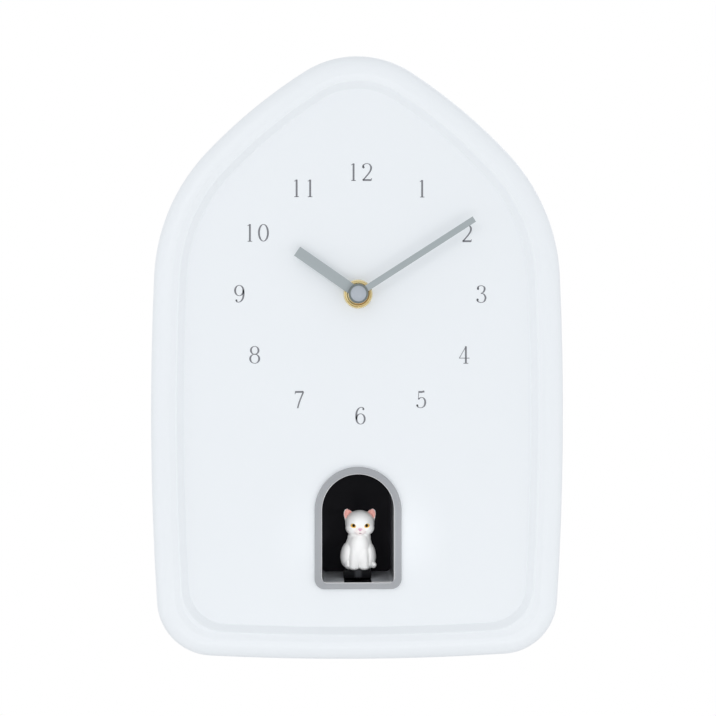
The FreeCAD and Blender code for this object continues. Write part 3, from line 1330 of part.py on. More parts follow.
def speaker_cone():
    """Paper cone with a dust dome, clear of the basket behind it."""
    face = -WALL
    rim = SPEAKER_R - SPEAKER_RIM - SLIDE_GAP
    low = face - SPEAKER_BASKET + SPEAKER_SKIN + CONE_GAP
    mouth = face - 2 * SLIDE_GAP
    neck = SPEAKER_THROAT_R - SPEAKER_SKIN - SLIDE_GAP
    profile = [(rim, mouth), (rim, mouth - CONE_T), (neck, low),
               (0, low), (0, low + CONE_T), (neck, low + CONE_T)]
    return spun_y(profile, SPEAKER_X, SPEAKER_W)


def sound_board():
    board = block(BOARD2_X[0], BOARD2_X[1], BOARD2_Y, BOARD2_Y - BOARD2_T, BOARD2_W[0], BOARD2_W[1])
    holes = [rod_y(x, w, BOARD2_Y, BOARD2_Y - BOARD2_T, STAKE_R + FIT) for x, w in stake_places()]
    return board.cut(Part.makeCompound(holes))


def sound_chips():
    face = BOARD2_Y - BOARD2_T
    x = sum(BOARD2_X) / 2
    w = sum(BOARD2_W) / 2
    chip = block(x - CAPACITOR_R, x + CAPACITOR_R, face, face - THIN, w - CHIP_R, w + CHIP_R)
    can = rod_y(x - SOCKET_X[0], w, face, face - CAPACITOR_H, CAPACITOR_R)
    socket = block(x + SOCKET_X[0], x + SOCKET_X[1], face, face - SOCKET_H,
                   w - SOCKET_HALF_W, w + SOCKET_HALF_W)
    return Part.makeCompound([chip, can, socket])


def switch_body():
    deep = -WALL - SWITCH_DEEP
    body = block(SWITCH_X - SWITCH_BODY_X, SWITCH_X + SWITCH_BODY_X, -WALL, deep,
                 SWITCH_W - SWITCH_HALF_W, SWITCH_W + SWITCH_HALF_W)
    slide = SWITCH_HALF_X + SLIDE_GAP
    wide = SWITCH_HALF_W - THIN / 2
    return body.cut(block(SWITCH_X - slide, SWITCH_X + slide, -WALL, deep + THIN,
                          SWITCH_W - wide, SWITCH_W + wide))


def switch_slider():
    wide = SWITCH_HALF_W - THIN / 2 - SLIDE_GAP
    half = SWITCH_HALF_X - SWITCH_TRAVEL
    shoe = block(SWITCH_X - half, SWITCH_X + half, -WALL - SLIDE_GAP, -WALL - SWITCH_DEEP + THIN + SLIDE_GAP,
                 SWITCH_W - wide, SWITCH_W + wide)
    nub = block(SWITCH_X - SWITCH_NUB_HALF, SWITCH_X + SWITCH_NUB_HALF, SWITCH_PROUD, -WALL - SLIDE_GAP * 2,
                SWITCH_W - SWITCH_NUB_HALF, SWITCH_W + SWITCH_NUB_HALF)
    return fuse_all(shoe, nub)


def button_body():
    half = BUTTON_BODY
    floor = -WALL - END_PLAY - BUTTON_FLANGE - BUTTON_TRAVEL - BUTTON_ROOM
    deep = floor - THIN
    body = block(BUTTON_X - half, BUTTON_X + half, -WALL, deep, BUTTON_W - half, BUTTON_W + half)
    room = rod_y(BUTTON_X, BUTTON_W, -WALL, floor, BUTTON_FLANGE_R + SLIDE_GAP)
    return body.cut(room)


def test_button():
    head = rod_y(BUTTON_X, BUTTON_W, BUTTON_PROUD, -WALL - END_PLAY, BUTTON_R)
    head = head.makeFillet(BUTTON_ROUND, edges_on(head, BUTTON_PROUD))
    flange = rod_y(BUTTON_X, BUTTON_W, -WALL - END_PLAY, -WALL - END_PLAY - BUTTON_FLANGE, BUTTON_FLANGE_R)
    return fuse_all(head, flange)


NODES = [
    front_shell, rear_cover, cover_screws, wall_bumpers,
    window_frame, niche_back, carriage_track, cat_carriage, cat_figure,
    movement_gasket, centre_bush, movement_washer, movement_nut,
    hour_hand, minute_hand, hand_cap,
    movement_front_case, movement_rear_case, stator, coil_bobbin, coil_winding,
    movement_board, movement_chip, quartz_crystal, movement_contacts, clock_battery,
    hour_wheel, minute_arbor, centre_wheel, motion_wheel, third_wheel, second_wheel,
    intermediate_wheel, rotor_magnet, rotor_pinion, setting_knob,
    drive_chassis, chassis_screws, drive_gear, reduction_gear, motor_pinion, motor_can, motor_end_cap,
    end_switches,
    sound_batteries, sound_contacts, battery_door, speaker_frame, speaker_magnet, speaker_cone,
    sound_board, sound_chips, switch_body, switch_slider, button_body, test_button,
]


def main():
    os.makedirs("parts", exist_ok=True)
    for build in NODES:
        shape = build()
        solids = shape.Solids
        good = bool(solids) and all(s.isValid() and s.isClosed() for s in solids)
        if len(solids) == 1:
            shape = solids[0]
        box = shape.BoundBox
        print("%-20s solids %d %s volume %.1f box x %.1f..%.1f y %.1f..%.1f z %.1f..%.1f" % (
            build.__name__, len(solids), "ok" if good else "BAD", shape.Volume,
            box.XMin, box.XMax, box.YMin, box.YMax, box.ZMin, box.ZMax))
        shape.exportStep("parts/" + build.__name__ + ".step")


main()
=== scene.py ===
import json
import math

import bmesh
import bpy
from mathutils import Matrix, Vector
from mathutils.bvhtree import BVHTree


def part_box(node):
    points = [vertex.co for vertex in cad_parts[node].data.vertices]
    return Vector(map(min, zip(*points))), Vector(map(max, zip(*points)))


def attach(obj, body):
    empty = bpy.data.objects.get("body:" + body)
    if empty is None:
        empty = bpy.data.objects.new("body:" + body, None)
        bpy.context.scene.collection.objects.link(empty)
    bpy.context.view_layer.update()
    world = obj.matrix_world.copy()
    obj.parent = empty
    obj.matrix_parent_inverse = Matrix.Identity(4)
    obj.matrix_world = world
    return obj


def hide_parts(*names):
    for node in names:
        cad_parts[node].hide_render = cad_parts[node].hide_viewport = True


# A house-shaped white wall clock with a small cat in an arched window.
# Row frame in metres: +Z up, the dial faces -Y, the wall is y = 0.

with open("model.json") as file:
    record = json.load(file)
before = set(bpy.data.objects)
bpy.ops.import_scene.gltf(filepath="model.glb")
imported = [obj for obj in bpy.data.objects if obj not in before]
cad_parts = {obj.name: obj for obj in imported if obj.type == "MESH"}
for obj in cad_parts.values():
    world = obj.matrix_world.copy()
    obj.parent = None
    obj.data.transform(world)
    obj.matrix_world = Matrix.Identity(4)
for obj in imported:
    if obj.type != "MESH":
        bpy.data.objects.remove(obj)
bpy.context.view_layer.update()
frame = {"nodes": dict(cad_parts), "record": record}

MM = 0.001


# ---- measures taken from the frame ---------------------------------------------------------
def middle(node):
    low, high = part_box(node)
    return (low + high) / 2


AXIS = middle("movement_washer")
DIAL_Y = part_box("movement_washer")[1].y
SHELL_LOW, SHELL_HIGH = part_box("front_shell")
CASE_MIDDLE = (SHELL_LOW + SHELL_HIGH) / 2
FOOT_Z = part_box("cat_figure")[0].z
# The window's half width, top and sill, in millimetres from the hands' axis.
OPENING_HALF = 17.9
OPENING_TOP = -89.2
OPENING_LOW = -142.9
# The middle of the cat's base lies CAT_HIP in from the right and the back of its box.
CAT_HIP = 8.9 * MM
CAT_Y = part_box("cat_figure")[1].y - CAT_HIP
CAT = Vector((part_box("cat_figure")[1].x - CAT_HIP, CAT_Y, FOOT_Z))


# ---- measures of the cat ------------------------------------------------------------------------
# Millimetres, with places counted from the middle of its base; SKIN_EASE counts smoothing passes.
HEAD_SHIFT = 0.75
EAR_TILT = math.radians(3.0)
EAR_PLACE = (5.75, 23.9)
EAR_SIZE = (2.15, 6.3)
EAR_BACK = 0.9
EYE_OUT = 3.28
EYE_RISE = 22.3
EYE_SIZE = (1.75, 1.38)
IRIS_HIGH = 1.35
PUPIL = (0.85, 0.88)
PUPIL_RISE = 0.15
NOSE_RISE = 20.45
MOUTH_RISE = 18.5
LEG_MIDDLE = 0.25
SKIN_VOXEL = 0.26
SKIN_EASE = 11


# ---- shader maths ---------------------------------------------------------------------------
class Value:
    """A float socket that can be used in plain arithmetic."""

    def __init__(self, paint, socket):
        self.paint = paint
        self.socket = socket

    def math(self, operation, other=None, first=False):
        pair = (other, self) if first else (self, other)
        given = {index: item for index, item in enumerate(pair) if item is not None}
        return self.paint.node("Math", {"operation": operation}, given)

    def __add__(self, other):
        return self.math("ADD", other)

    __radd__ = __add__

    def __mul__(self, other):
        return self.math("MULTIPLY", other)

    __rmul__ = __mul__

    def __sub__(self, other):
        return self.math("SUBTRACT", other)

    def __rsub__(self, other):
        return self.math("SUBTRACT", other, first=True)

    def __truediv__(self, other):
        return self.math("DIVIDE", other)

    def __pow__(self, other):
        return self.math("POWER", other)

    def __abs__(self):
        return self.math("ABSOLUTE")

    def over(self, other):
        return self.math("MAXIMUM", other)

    def sine(self):
        return self.math("SINE")

    def fade(self, start, end):
        """0 at start, 1 at end, eased; start may be the larger."""
        low, high = (start, end) if start < end else (end, start)
        rise = self.paint.node(
            "MapRange",
            {"interpolation_type": "SMOOTHSTEP"},
            {"Value": self, "From Min": low, "From Max": high},
        )
        return rise if start < end else 1 - rise


class Paint:
    """One material: its nodes, its place coordinates in millimetres, and its shader."""

    def __init__(self, name, roughness=0.5, metallic=0.0, coat=0.0, coat_roughness=0.1, specular=0.5):
        self.material = bpy.data.materials.new(name)
        self.material.use_nodes = True
        self.tree = self.material.node_tree
        self.tree.nodes.clear()
        self.shader = self.tree.nodes.new("ShaderNodeBsdfPrincipled")
        output = self.tree.nodes.new("ShaderNodeOutputMaterial")
        self.tree.links.new(self.shader.outputs[0], output.inputs[0])
        for socket, amount in (
            ("Roughness", roughness),
            ("Metallic", metallic),
            ("Coat Weight", coat),
            ("Coat Roughness", coat_roughness),
            ("Specular IOR Level", specular),
        ):
            self.shader.inputs[socket].default_value = amount

    def node(self, kind, settings=None, given=None, output=0):
        """Adds one node: its settings first, then its sockets' values or links."""
        made = self.tree.nodes.new("ShaderNode" + kind)
        for name, value in (settings or {}).items():
            setattr(made, name, value)
        for key, item in (given or {}).items():
            self.feed(made.inputs[key], item)
        return Value(self, made.outputs[output])

    def feed(self, socket, item):
        if isinstance(item, Value):
            self.tree.links.new(item.socket, socket)
        elif isinstance(item, tuple) and len(item) == 3 and socket.type == "RGBA":
            socket.default_value = (*item, 1.0)
        else:
            socket.default_value = item

    def place(self, origin=(0.0, 0.0, 0.0)):
        """The point on the surface in millimetres from origin, as a vector."""
        here = self.node("TexCoord", output="Object")
        shifted = self.node("VectorMath", {"operation": "SUBTRACT"}, {0: here, 1: tuple(origin)})
        return self.node("VectorMath", {"operation": "SCALE"}, {0: shifted, "Scale": 1 / MM})

    def axes(self, vector):
        split = self.tree.nodes.new("ShaderNodeSeparateXYZ")
        self.tree.links.new(vector.socket, split.inputs[0])
        return [Value(self, socket) for socket in split.outputs]

    def stretch(self, vector, factors):
        return self.node("VectorMath", {"operation": "MULTIPLY"}, {0: vector, 1: factors})

    def noise(self, vector, scale, detail=2.0, rough=0.5):
        given = {"Vector": vector, "Scale": scale, "Detail": detail, "Roughness": rough}
        return self.node("TexNoise", {}, given)

    def cells(self, vector, scale, output="Distance"):
        return self.node("TexVoronoi", {}, {"Vector": vector, "Scale": scale}, output)

    def blend(self, amount, first, second):
        """Colour mix: first where amount is 0, second where it is 1."""
        mix = self.tree.nodes.new("ShaderNodeMix")
        mix.data_type = "RGBA"
        self.feed(mix.inputs[0], amount)
        self.feed(mix.inputs[6], first)
        self.feed(mix.inputs[7], second)
        return Value(self, mix.outputs[2])

    def bump(self, height, depth):
        """Surface relief of depth millimetres where height runs from 0 to 1."""
        made = self.tree.nodes.new("ShaderNodeBump")
        made.inputs["Strength"].default_value = 1.0
        made.inputs["Distance"].default_value = depth * MM
        self.tree.links.new(height.socket, made.inputs["Height"])
        self.tree.links.new(made.outputs[0], self.shader.inputs["Normal"])

    def set(self, socket, item):
        self.feed(self.shader.inputs[socket], item)


def span(across, up):
    """Distance from the middle for two offsets."""
    return (across * across + up * up) ** 0.5


def tint(colour, factor):
    return tuple(channel * factor for channel in colour)


# ---- finishes -----------------------------------------------------------------------------------
# Rings, turns and ribs in radians a millimetre; radii, depths and places in millimetres.
TOOL_RINGS = 7.0
CAP_R = 3.85
HUB_R = 5.0
# Depths of the painted highlight into the window opening, on its walls and on its sill.
HIGHLIGHT_WALL_DEPTH = 6.4
HIGHLIGHT_SILL_DEPTH = 3.2
WIRE_TURNS = 40.0
CELL_START = -80.6
CELL_PITCH = 50.2
CONE_RIBS = 3.2


def moulded(name, colour, roughness, grain=2.5, depth=0.012, drift=0.04, specular=0.5):
    """Moulded plastic: fine sparked grain, slow colour drift, patchy sheen."""
    paint = Paint(name, roughness, specular=specular)
    point = paint.place()
    slow = paint.noise(point, 0.03, 3.0)
    fine = paint.noise(point, grain, 3.0, 0.6)
    paint.set("Base Color", paint.blend(slow, tint(colour, 1 - drift), colour))
    paint.set("Roughness", roughness - 0.05 + slow * 0.06 + fine * 0.05)
    paint.bump(fine, depth)
    return paint.material


def rolled_metal(name, colour, roughness, along=(0.15, 6.0, 6.0), depth=0.006):
    """Sheet or wire metal with fine lines drawn one way and dull patches."""
    paint = Paint(name, roughness, metallic=1.0)
    point = paint.place()
    lines = paint.noise(paint.stretch(point, along), 1.2, 4.0, 0.7)
    patches = paint.noise(point, 0.25, 3.0)
    paint.set("Base Color", paint.blend(lines, tint(colour, 0.82), colour))
    paint.set("Roughness", roughness - 0.08 + lines * 0.12 + patches * 0.1)
    paint.bump(lines, depth)
    return paint.material


def turned_brass():
    """Turned brass with tool rings, painted reflection streaks that run outward, painted shade on the
    lower right and a painted highlight on the outer edge.
    """
    paint = Paint("brass_turned", 0.3, metallic=1.0)
    point = paint.place(AXIS)
    x, _, z = paint.axes(point)
    radius = span(x, z)
    rings = (radius * TOOL_RINGS).sine() * 0.5 + 0.5
    patches = paint.noise(point, 1.1, 3.0)
    around = paint.node("VectorMath", {"operation": "NORMALIZE"}, {0: point})
    # Painted reflection: radial streaks of darker brass stand in for the surroundings mirrored in the
    # metal.
    painted_reflection_streaks = paint.noise(around, 1.5, 1.0).fade(0.42, 0.62)
    # Painted shade: the inner band is darker and more orange on the lower right, away from the key light.
    painted_shade_band = radius.fade(6.3, 5.2) * (x - z * 0.6).fade(-2.0, 3.0)
    base = paint.blend(painted_shade_band, (0.80, 0.66, 0.35), (0.78, 0.47, 0.16))
    with_painted_reflection = paint.blend(painted_reflection_streaks * 0.55, base, (0.50, 0.37, 0.15))
    # Painted highlight: the outer edge is lightened to a pale cream.
    with_painted_edge_highlight = paint.blend(radius.fade(6.5, 7.0), with_painted_reflection, (0.94, 0.84, 0.58))
    paint.set("Base Color", with_painted_edge_highlight)
    paint.set("Roughness", 0.16 + rings * 0.06 + patches * 0.1)
    paint.bump(rings, 0.05)
    return paint.material


def painted_hand():
    """Grey painted sheet: a flat satin coat with faint orange-peel, painted light on the cap and a ring
    of painted shade round it on the hub.
    """
    paint = Paint("hand_grey_paint", 0.42, coat=0.15, coat_roughness=0.3)
    point = paint.place(AXIS)
    x, _, z = paint.axes(point)
    radius = span(x, z)
    peel = paint.noise(point, 1.6, 2.0)
    slow = paint.noise(point, 0.12, 2.0)
    grey = (0.395, 0.438, 0.45)
    coat = paint.blend(slow, tint(grey, 0.94), grey)
    # Painted light: the cap disc is lightened.
    cap_with_painted_light = paint.blend(radius.fade(CAP_R + 0.1, CAP_R - 0.1), coat, (0.45, 0.485, 0.53))
    # Painted shade: a dark ring between the edge of the cap and the edge of the hub.
    rim = radius.fade(CAP_R - 0.1, CAP_R + 0.15) * radius.fade(HUB_R + 0.2, HUB_R - 0.1)
    paint.set("Base Color", paint.blend(rim, cap_with_painted_light, (0.17, 0.195, 0.19)))
    paint.set("Roughness", 0.38 + peel * 0.1)
    paint.bump(peel, 0.01)
    return paint.material


def white_shell():
    """Smooth white moulding: satin skin, very fine grain and almost no colour drift."""
    white = (0.905, 0.93, 0.95)
    paint = Paint("shell_white_satin", 0.36, coat=0.12, coat_roughness=0.25)
    point = paint.place()
    slow = paint.noise(point, 0.012, 2.0)
    fine = paint.noise(point, 3.2, 3.0, 0.6)
    waves = paint.noise(point, 0.09, 2.0)
    paint.set("Base Color", paint.blend(slow, tint(white, 0.985), white))
    paint.set("Roughness", 0.33 + fine * 0.05 + waves * 0.05)
    paint.bump(fine, 0.006)
    return paint.material


def printed_ink():
    """Pad-printed grey ink, a little uneven where it took."""
    paint = Paint("numeral_ink", 0.55)
    point = paint.place()
    speck = paint.noise(point, 3.0, 3.0)
    ink = (0.20, 0.203, 0.222)
    paint.set("Base Color", paint.blend(speck, tint(ink, 0.9), tint(ink, 1.15)))
    paint.set("Roughness", 0.5 + speck * 0.1)
    paint.bump(speck, 0.01)
    return paint.material


def bezel_paint():
    """Gloss grey window surround with a painted highlight just inside its opening, painted shade on the
    walls further in and painted light on the sill.
    """
    front = (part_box("window_frame")[0].y - AXIS.y) / MM
    spring = OPENING_TOP - OPENING_HALF
    grey = (0.368, 0.377, 0.395)
    paint = Paint("bezel_grey_gloss", 0.3, coat=0.3)
    point = paint.place(AXIS)
    x, y, z = paint.axes(point)
    slow = paint.noise(point, 0.03, 3.0)
    fine = paint.noise(point, 3.0, 3.0, 0.6)
    arch = (z - spring).over(0.0)
    reach = span(x, arch)
    above = z - OPENING_LOW
    edge = reach.fade(OPENING_HALF - 0.5, OPENING_HALF - 0.1).over(above.fade(0.5, 0.1))
    inside = reach.fade(OPENING_HALF + 0.45, OPENING_HALF + 0.2) * above.fade(-0.45, -0.2)
    _, ny, _ = paint.axes(paint.node("NewGeometry", output="Normal"))
    wall = abs(ny).fade(0.95, 0.7) * inside
    sill = above.fade(1.5, 0.4)
    # Painted highlight: a near-white band along the inner edge of the opening, deeper on the walls than
    # on the sill.
    painted_highlight = wall * edge * (y + sill * HIGHLIGHT_SILL_DEPTH).fade(front + HIGHLIGHT_WALL_DEPTH + 0.8, front + HIGHLIGHT_WALL_DEPTH)
    # Painted shade on the inner walls further in, and painted light on the sill.
    deep = wall * y.fade(front + 3.0, front + 3.6)
    skin = paint.blend(slow, tint(grey, 0.97), grey)
    painted_shade_and_light = paint.blend(sill, tint(grey, 0.45), tint(grey, 1.35))
    shaded = paint.blend(deep, skin, painted_shade_and_light)
    paint.set("Base Color", paint.blend(painted_highlight, shaded, (0.95, 0.95, 0.95)))
    paint.set("Roughness", 0.25 + slow * 0.06 + fine * 0.05)
    paint.bump(fine, 0.005)
    return paint.material


def runway_paint():
    """Gloss black slide and plinth with a pale streak down the middle, a painted reflection of the cat.
    """
    paint = Paint("runway_black_gloss", 0.12, specular=0.09)
    point = paint.place(CAT)
    x, _, z = paint.axes(point)
    grain = paint.noise(point, 2.5, 3.0, 0.6)
    streak = paint.noise(paint.stretch(point, (2.0, 0.3, 0.3)), 0.5, 2.0)
    # Painted reflection: a pale streak where the cat's legs would be mirrored in the gloss black.
    painted_reflection = abs(x + 0.3).fade(2.4, 0.9) * z.fade(-4.0, -3.0) * (0.6 + streak * 0.8)
    paint.set("Base Color", paint.blend(painted_reflection, (0.005, 0.005, 0.006), (0.05, 0.051, 0.056)))
    paint.set("Roughness", 0.1 + grain * 0.06 + painted_reflection * 0.1)
    paint.bump(grain, 0.006)
    return paint.material


def wound_copper():
    """Enamelled wire: one ridge for each turn and random shade between turns."""
    paint = Paint("coil_copper", 0.3, metallic=1.0, coat=0.5)
    point = paint.place()
    _, _, z = paint.axes(point)
    turns = (z * WIRE_TURNS).sine() * 0.5 + 0.5
    shade = paint.noise(paint.stretch(point, (0.2, 0.2, 7.0)), 1.0, 2.0)
    paint.set("Base Color", paint.blend(shade, (0.50, 0.20, 0.08), (0.78, 0.36, 0.16)))
    paint.set("Roughness", 0.25 + turns * 0.15)
    paint.bump(turns, 0.05)
    return paint.material


def circuit_board():
    """Green solder mask over copper tracks that show as raised, lighter bands."""
    paint = Paint("board_green_mask", 0.3, coat=0.4)
    point = paint.place()
    tracks = paint.cells(paint.stretch(point, (1.0, 0.0, 0.45)), 0.35, "Color")
    edge = paint.noise(tracks, 9.0, 0.0).fade(0.42, 0.5)
    fine = paint.noise(point, 4.0, 2.0)
    paint.set("Base Color", paint.blend(edge, (0.012, 0.10, 0.045), (0.03, 0.21, 0.09)))
    paint.set("Roughness", 0.24 + fine * 0.1)
    paint.bump(edge, 0.03)
    return paint.material


def cell_sleeve():
    """Dry cell: dark scuffed shrink sleeve with one pale band near its end."""
    paint = Paint("cell_sleeve_dark", 0.3, coat=0.5)
    point = paint.place()
    x, _, _ = paint.axes(point)
    along = paint.node("Math", {"operation": "FRACT"}, {0: (x - CELL_START) / CELL_PITCH})
    band = along.fade(0.70, 0.72) * along.fade(0.84, 0.82)
    scuff = paint.noise(point, 0.9, 4.0)
    sleeve = paint.blend(band, (0.02, 0.028, 0.05), (0.62, 0.60, 0.55))
    paint.set("Base Color", paint.blend(scuff * 0.25, sleeve, (0.10, 0.11, 0.13)))
    paint.set("Roughness", 0.22 + scuff * 0.18)
    paint.bump(scuff, 0.01)
    return paint.material


def pressed_paper():
    """Speaker cone: pressed fibres and shallow concentric ribs."""
    paint = Paint("cone_paper", 0.85)
    point = paint.place(middle("speaker_cone"))
    x, _, z = paint.axes(point)
    ribs = (span(x, z) * CONE_RIBS).sine() * 0.5 + 0.5
    fibre = paint.noise(point, 2.2, 5.0, 0.7)
    paint.set("Base Color", paint.blend(fibre, (0.03, 0.03, 0.032), (0.09, 0.088, 0.085)))
    paint.set("Roughness", 0.8 + fibre * 0.15)
    paint.bump(ribs * 0.7 + fibre * 0.3, 0.12)
    return paint.material


def sintered(name, colour):
    """Pressed ferrite: dark grains with a few bright specks."""
    paint = Paint(name, 0.55, metallic=0.35)
    point = paint.place()
    grains = paint.cells(point, 2.4)
    paint.set("Base Color", paint.blend(grains, tint(colour, 0.7), tint(colour, 1.3)))
    paint.set("Roughness", 0.45 + grains * 0.25)
    paint.bump(grains, 0.03)
    return paint.material


def cat_paint():
    """Glazed white resin with hand-painted inner ears, a blush on the muzzle and a fine mouth."""
    white = (0.935, 0.93, 0.92)
    paint = Paint("cat_resin_white", 0.3, coat=0.3, coat_roughness=0.12)
    point = paint.place(CAT)
    x, y, z = paint.axes(point)
    slow = paint.noise(point, 0.22, 3.0)
    brush = paint.noise(point, 1.9, 3.0)
    side = abs(x - HEAD_SHIFT)
    lean_x = (side - EAR_PLACE[0]) * math.cos(EAR_TILT) - (z - EAR_PLACE[1]) * math.sin(EAR_TILT)
    lean_z = (side - EAR_PLACE[0]) * math.sin(EAR_TILT) + (z - EAR_PLACE[1]) * math.cos(EAR_TILT)
    across = span(lean_x / EAR_SIZE[0], (lean_z - 3.6) / 2.9)
    _, ny, _ = paint.axes(paint.node("NewGeometry", output="Normal"))
    front = (ny * -1.0).fade(0.15, 0.5)
    inner = across.fade(1.02, 0.84) * front * y.fade(EAR_BACK - 2.2, EAR_BACK - 1.3)
    muzzle_x = (x - HEAD_SHIFT) / 3.4
    muzzle_z = (z - 19.4) / 2.2
    blush = (muzzle_x * muzzle_x + muzzle_z * muzzle_z).fade(1.4, 0.1) * front
    arc = abs(side * 0.35 + (z - MOUTH_RISE))
    mouth = arc.fade(0.34, 0.10) * side.fade(0.85, 0.45) * front
    thin = paint.blend(slow, tint(white, 0.96), white)
    rosy = paint.blend(blush * 0.30, thin, (0.90, 0.62, 0.62))
    eared = paint.blend(inner * (0.75 + brush * 0.35), rosy, (0.90, 0.40, 0.34))
    paint.set("Base Color", paint.blend(mouth * 0.75, eared, (0.30, 0.12, 0.15)))
    paint.set("Roughness", 0.27 + slow * 0.08 + inner * 0.15)
    paint.bump(brush * 0.5 + slow * 0.5, 0.03)
    return paint.material


def eye_glaze(name, centre):
    """Glazed eye: dark oval pupil in an amber iris that pales to its rim."""
    paint = Paint(name, 0.25, specular=0.12)
    point = paint.place(centre)
    x, _, z = paint.axes(point)
    streak = paint.noise(paint.stretch(point, (3.0, 1.0, 0.8)), 1.6, 2.0)
    iris = span(x / EYE_SIZE[0], z / IRIS_HIGH)
    pupil = span(x / PUPIL[0], (z - PUPIL_RISE) / PUPIL[1])
    amber = paint.blend(streak, (0.80, 0.42, 0.05), (0.92, 0.58, 0.12))
    rimmed = paint.blend(iris.fade(0.62, 1.0), amber, (0.95, 0.82, 0.45))
    paint.set("Base Color", paint.blend(pupil.fade(1.0, 0.82), rimmed, (0.008, 0.004, 0.003)))
    paint.set("Roughness", 0.22 + streak * 0.08)
    paint.bump(streak, 0.01)
    return paint.material


def nose_paint():
    """Lilac-pink painted nose with fine pores."""
    paint = Paint("cat_nose_rose", 0.3, coat=0.4)
    point = paint.place(CAT)
    pores = paint.noise(point, 2.6, 3.0)
    paint.set("Base Color", paint.blend(pores, (0.70, 0.38, 0.50), (0.80, 0.50, 0.62)))
    paint.set("Roughness", 0.25 + pores * 0.15)
    paint.bump(pores, 0.03)
    return paint.material


def plain_floor():
    """Pale matt studio floor with faint clouding."""
    paint = Paint("floor_pale", 0.7)
    point = paint.place()
    cloud = paint.noise(point, 0.004, 3.0)
    fine = paint.noise(point, 0.4, 3.0)
    paint.set("Base Color", paint.blend(cloud, (0.80, 0.80, 0.80), (0.85, 0.85, 0.85)))
    paint.set("Roughness", 0.65 + fine * 0.1)
    paint.bump(fine, 0.05)
    return paint.material


FINISHES = {
    "shell_white": white_shell(),
    "cover_white": moulded("cover_white_grain", (0.86, 0.875, 0.89), 0.55, 1.6, 0.035, drift=0.02),
    "screw_steel": rolled_metal("screw_zinc", (0.66, 0.67, 0.68), 0.32, (3.0, 3.0, 3.0)),
    "bumper_rubber": moulded("pad_rubber", (0.035, 0.035, 0.037), 0.8, 1.8, 0.05),
    "bezel_grey": bezel_paint(),
    "niche_black": moulded("niche_black_flock", (0.0088, 0.0082, 0.0118), 0.75, 2.2, 0.04, specular=0.3),
    "runway_black": runway_paint(),
    "gasket_rubber": moulded("gasket_rubber", (0.03, 0.03, 0.03), 0.8, 2.0, 0.04),
    "brass": turned_brass(),
    "hand_grey": painted_hand(),
    "movement_black": moulded("movement_black_spark", (0.022, 0.022, 0.024), 0.5, 2.2, 0.03),
    "steel_dark": rolled_metal("stator_steel", (0.33, 0.33, 0.34), 0.4),
    "bobbin_white": moulded("bobbin_nylon", (0.72, 0.71, 0.66), 0.5),
    "copper": wound_copper(),
    "board_green": circuit_board(),
    "chip_black": moulded("chip_epoxy", (0.018, 0.018, 0.02), 0.45, 2.8, 0.02),
    "crystal_metal": rolled_metal("crystal_tin", (0.75, 0.75, 0.75), 0.22),
    "contact_metal": rolled_metal("contact_nickel", (0.70, 0.68, 0.62), 0.28),
    "cell_sleeve": cell_sleeve(),
    "gear_white": moulded("gear_acetal_white", (0.80, 0.79, 0.74), 0.42, 2.2, 0.01),
    "gear_black": moulded("gear_acetal_black", (0.04, 0.04, 0.045), 0.42, 2.2, 0.01),
    "arbor_steel": rolled_metal("arbor_steel", (0.60, 0.60, 0.61), 0.25, (6.0, 0.3, 6.0)),
    "magnet_grey": sintered("magnet_ferrite", (0.10, 0.10, 0.105)),
    "knob_black": moulded("knob_black_grip", (0.035, 0.035, 0.038), 0.48, 2.4, 0.02),
    "chassis_grey": moulded("chassis_grey_nylon", (0.16, 0.165, 0.17), 0.52, 2.0, 0.02),
    "motor_steel": rolled_metal("motor_can_steel", (0.64, 0.64, 0.65), 0.24),
    "cap_nylon": moulded("motor_cap_nylon", (0.50, 0.49, 0.45), 0.5),
    "paper_cone": pressed_paper(),
    "speaker_steel": rolled_metal("basket_black_steel", (0.06, 0.06, 0.065), 0.45),
    "cat_white": cat_paint(),
}


def dress_frame():
    """Gives every CAD node the finish of its slot."""
    for part in frame["record"]["subparts"]:
        thing = frame["nodes"][part["node"]]
        thing.data.materials.clear()
        thing.data.materials.append(FINISHES[part["material_slot"]])


# ---- mesh helpers -------------------------------------------------------------------------------
def add_mesh(name, mesh, finish, body):
    """Puts a mesh in the scene with its finish, riding on a body."""
    thing = bpy.data.objects.new(name, mesh)
    bpy.context.scene.collection.objects.link(thing)
    mesh.materials.clear()
    mesh.materials.append(finish)
    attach(thing, body)
    return thing


def ball(made, centre, radii, turn=None, rings=20):
    """Adds an ellipsoid to a sculpt's bmesh, in millimetres."""
    spin = Matrix.Identity(4) if turn is None else turn
    size = Matrix.Diagonal((*radii, 1.0))
    place = Matrix.Translation(centre) @ spin @ size
    bmesh.ops.create_uvsphere(made, u_segments=2 * rings, v_segments=rings, radius=1.0, matrix=place)


def limb(made, points, radii, steps=8):
    """Adds a chain of balls along a line of points, thick enough to merge."""
    for index in range(len(points) - 1):
        start, end = Vector(points[index]), Vector(points[index + 1])
        for step in range(steps + 1):
            share = step / steps
            radius = radii[index] * (1 - share) + radii[index + 1] * share
            ball(made, start.lerp(end, share), (radius, radius, radius), rings=10)


def settle(made, name, voxel, passes):
    """Melts overlapping lumps into one skin and eases the joins; returns a mesh in millimetres."""
    rough = bpy.data.meshes.new(name)
    made.to_mesh(rough)
    made.free()
    thing = bpy.data.objects.new(name, rough)
    bpy.context.scene.collection.objects.link(thing)
    remesh = thing.modifiers.new("skin", "REMESH")
    remesh.mode = "VOXEL"
    remesh.voxel_size = voxel
    ease = thing.modifiers.new("ease", "SMOOTH")
    ease.factor = 0.5
    ease.iterations = passes
    graph = bpy.context.evaluated_depsgraph_get()
    result = bpy.data.meshes.new_from_object(thing.evaluated_get(graph))
    bpy.data.objects.remove(thing)
    return result


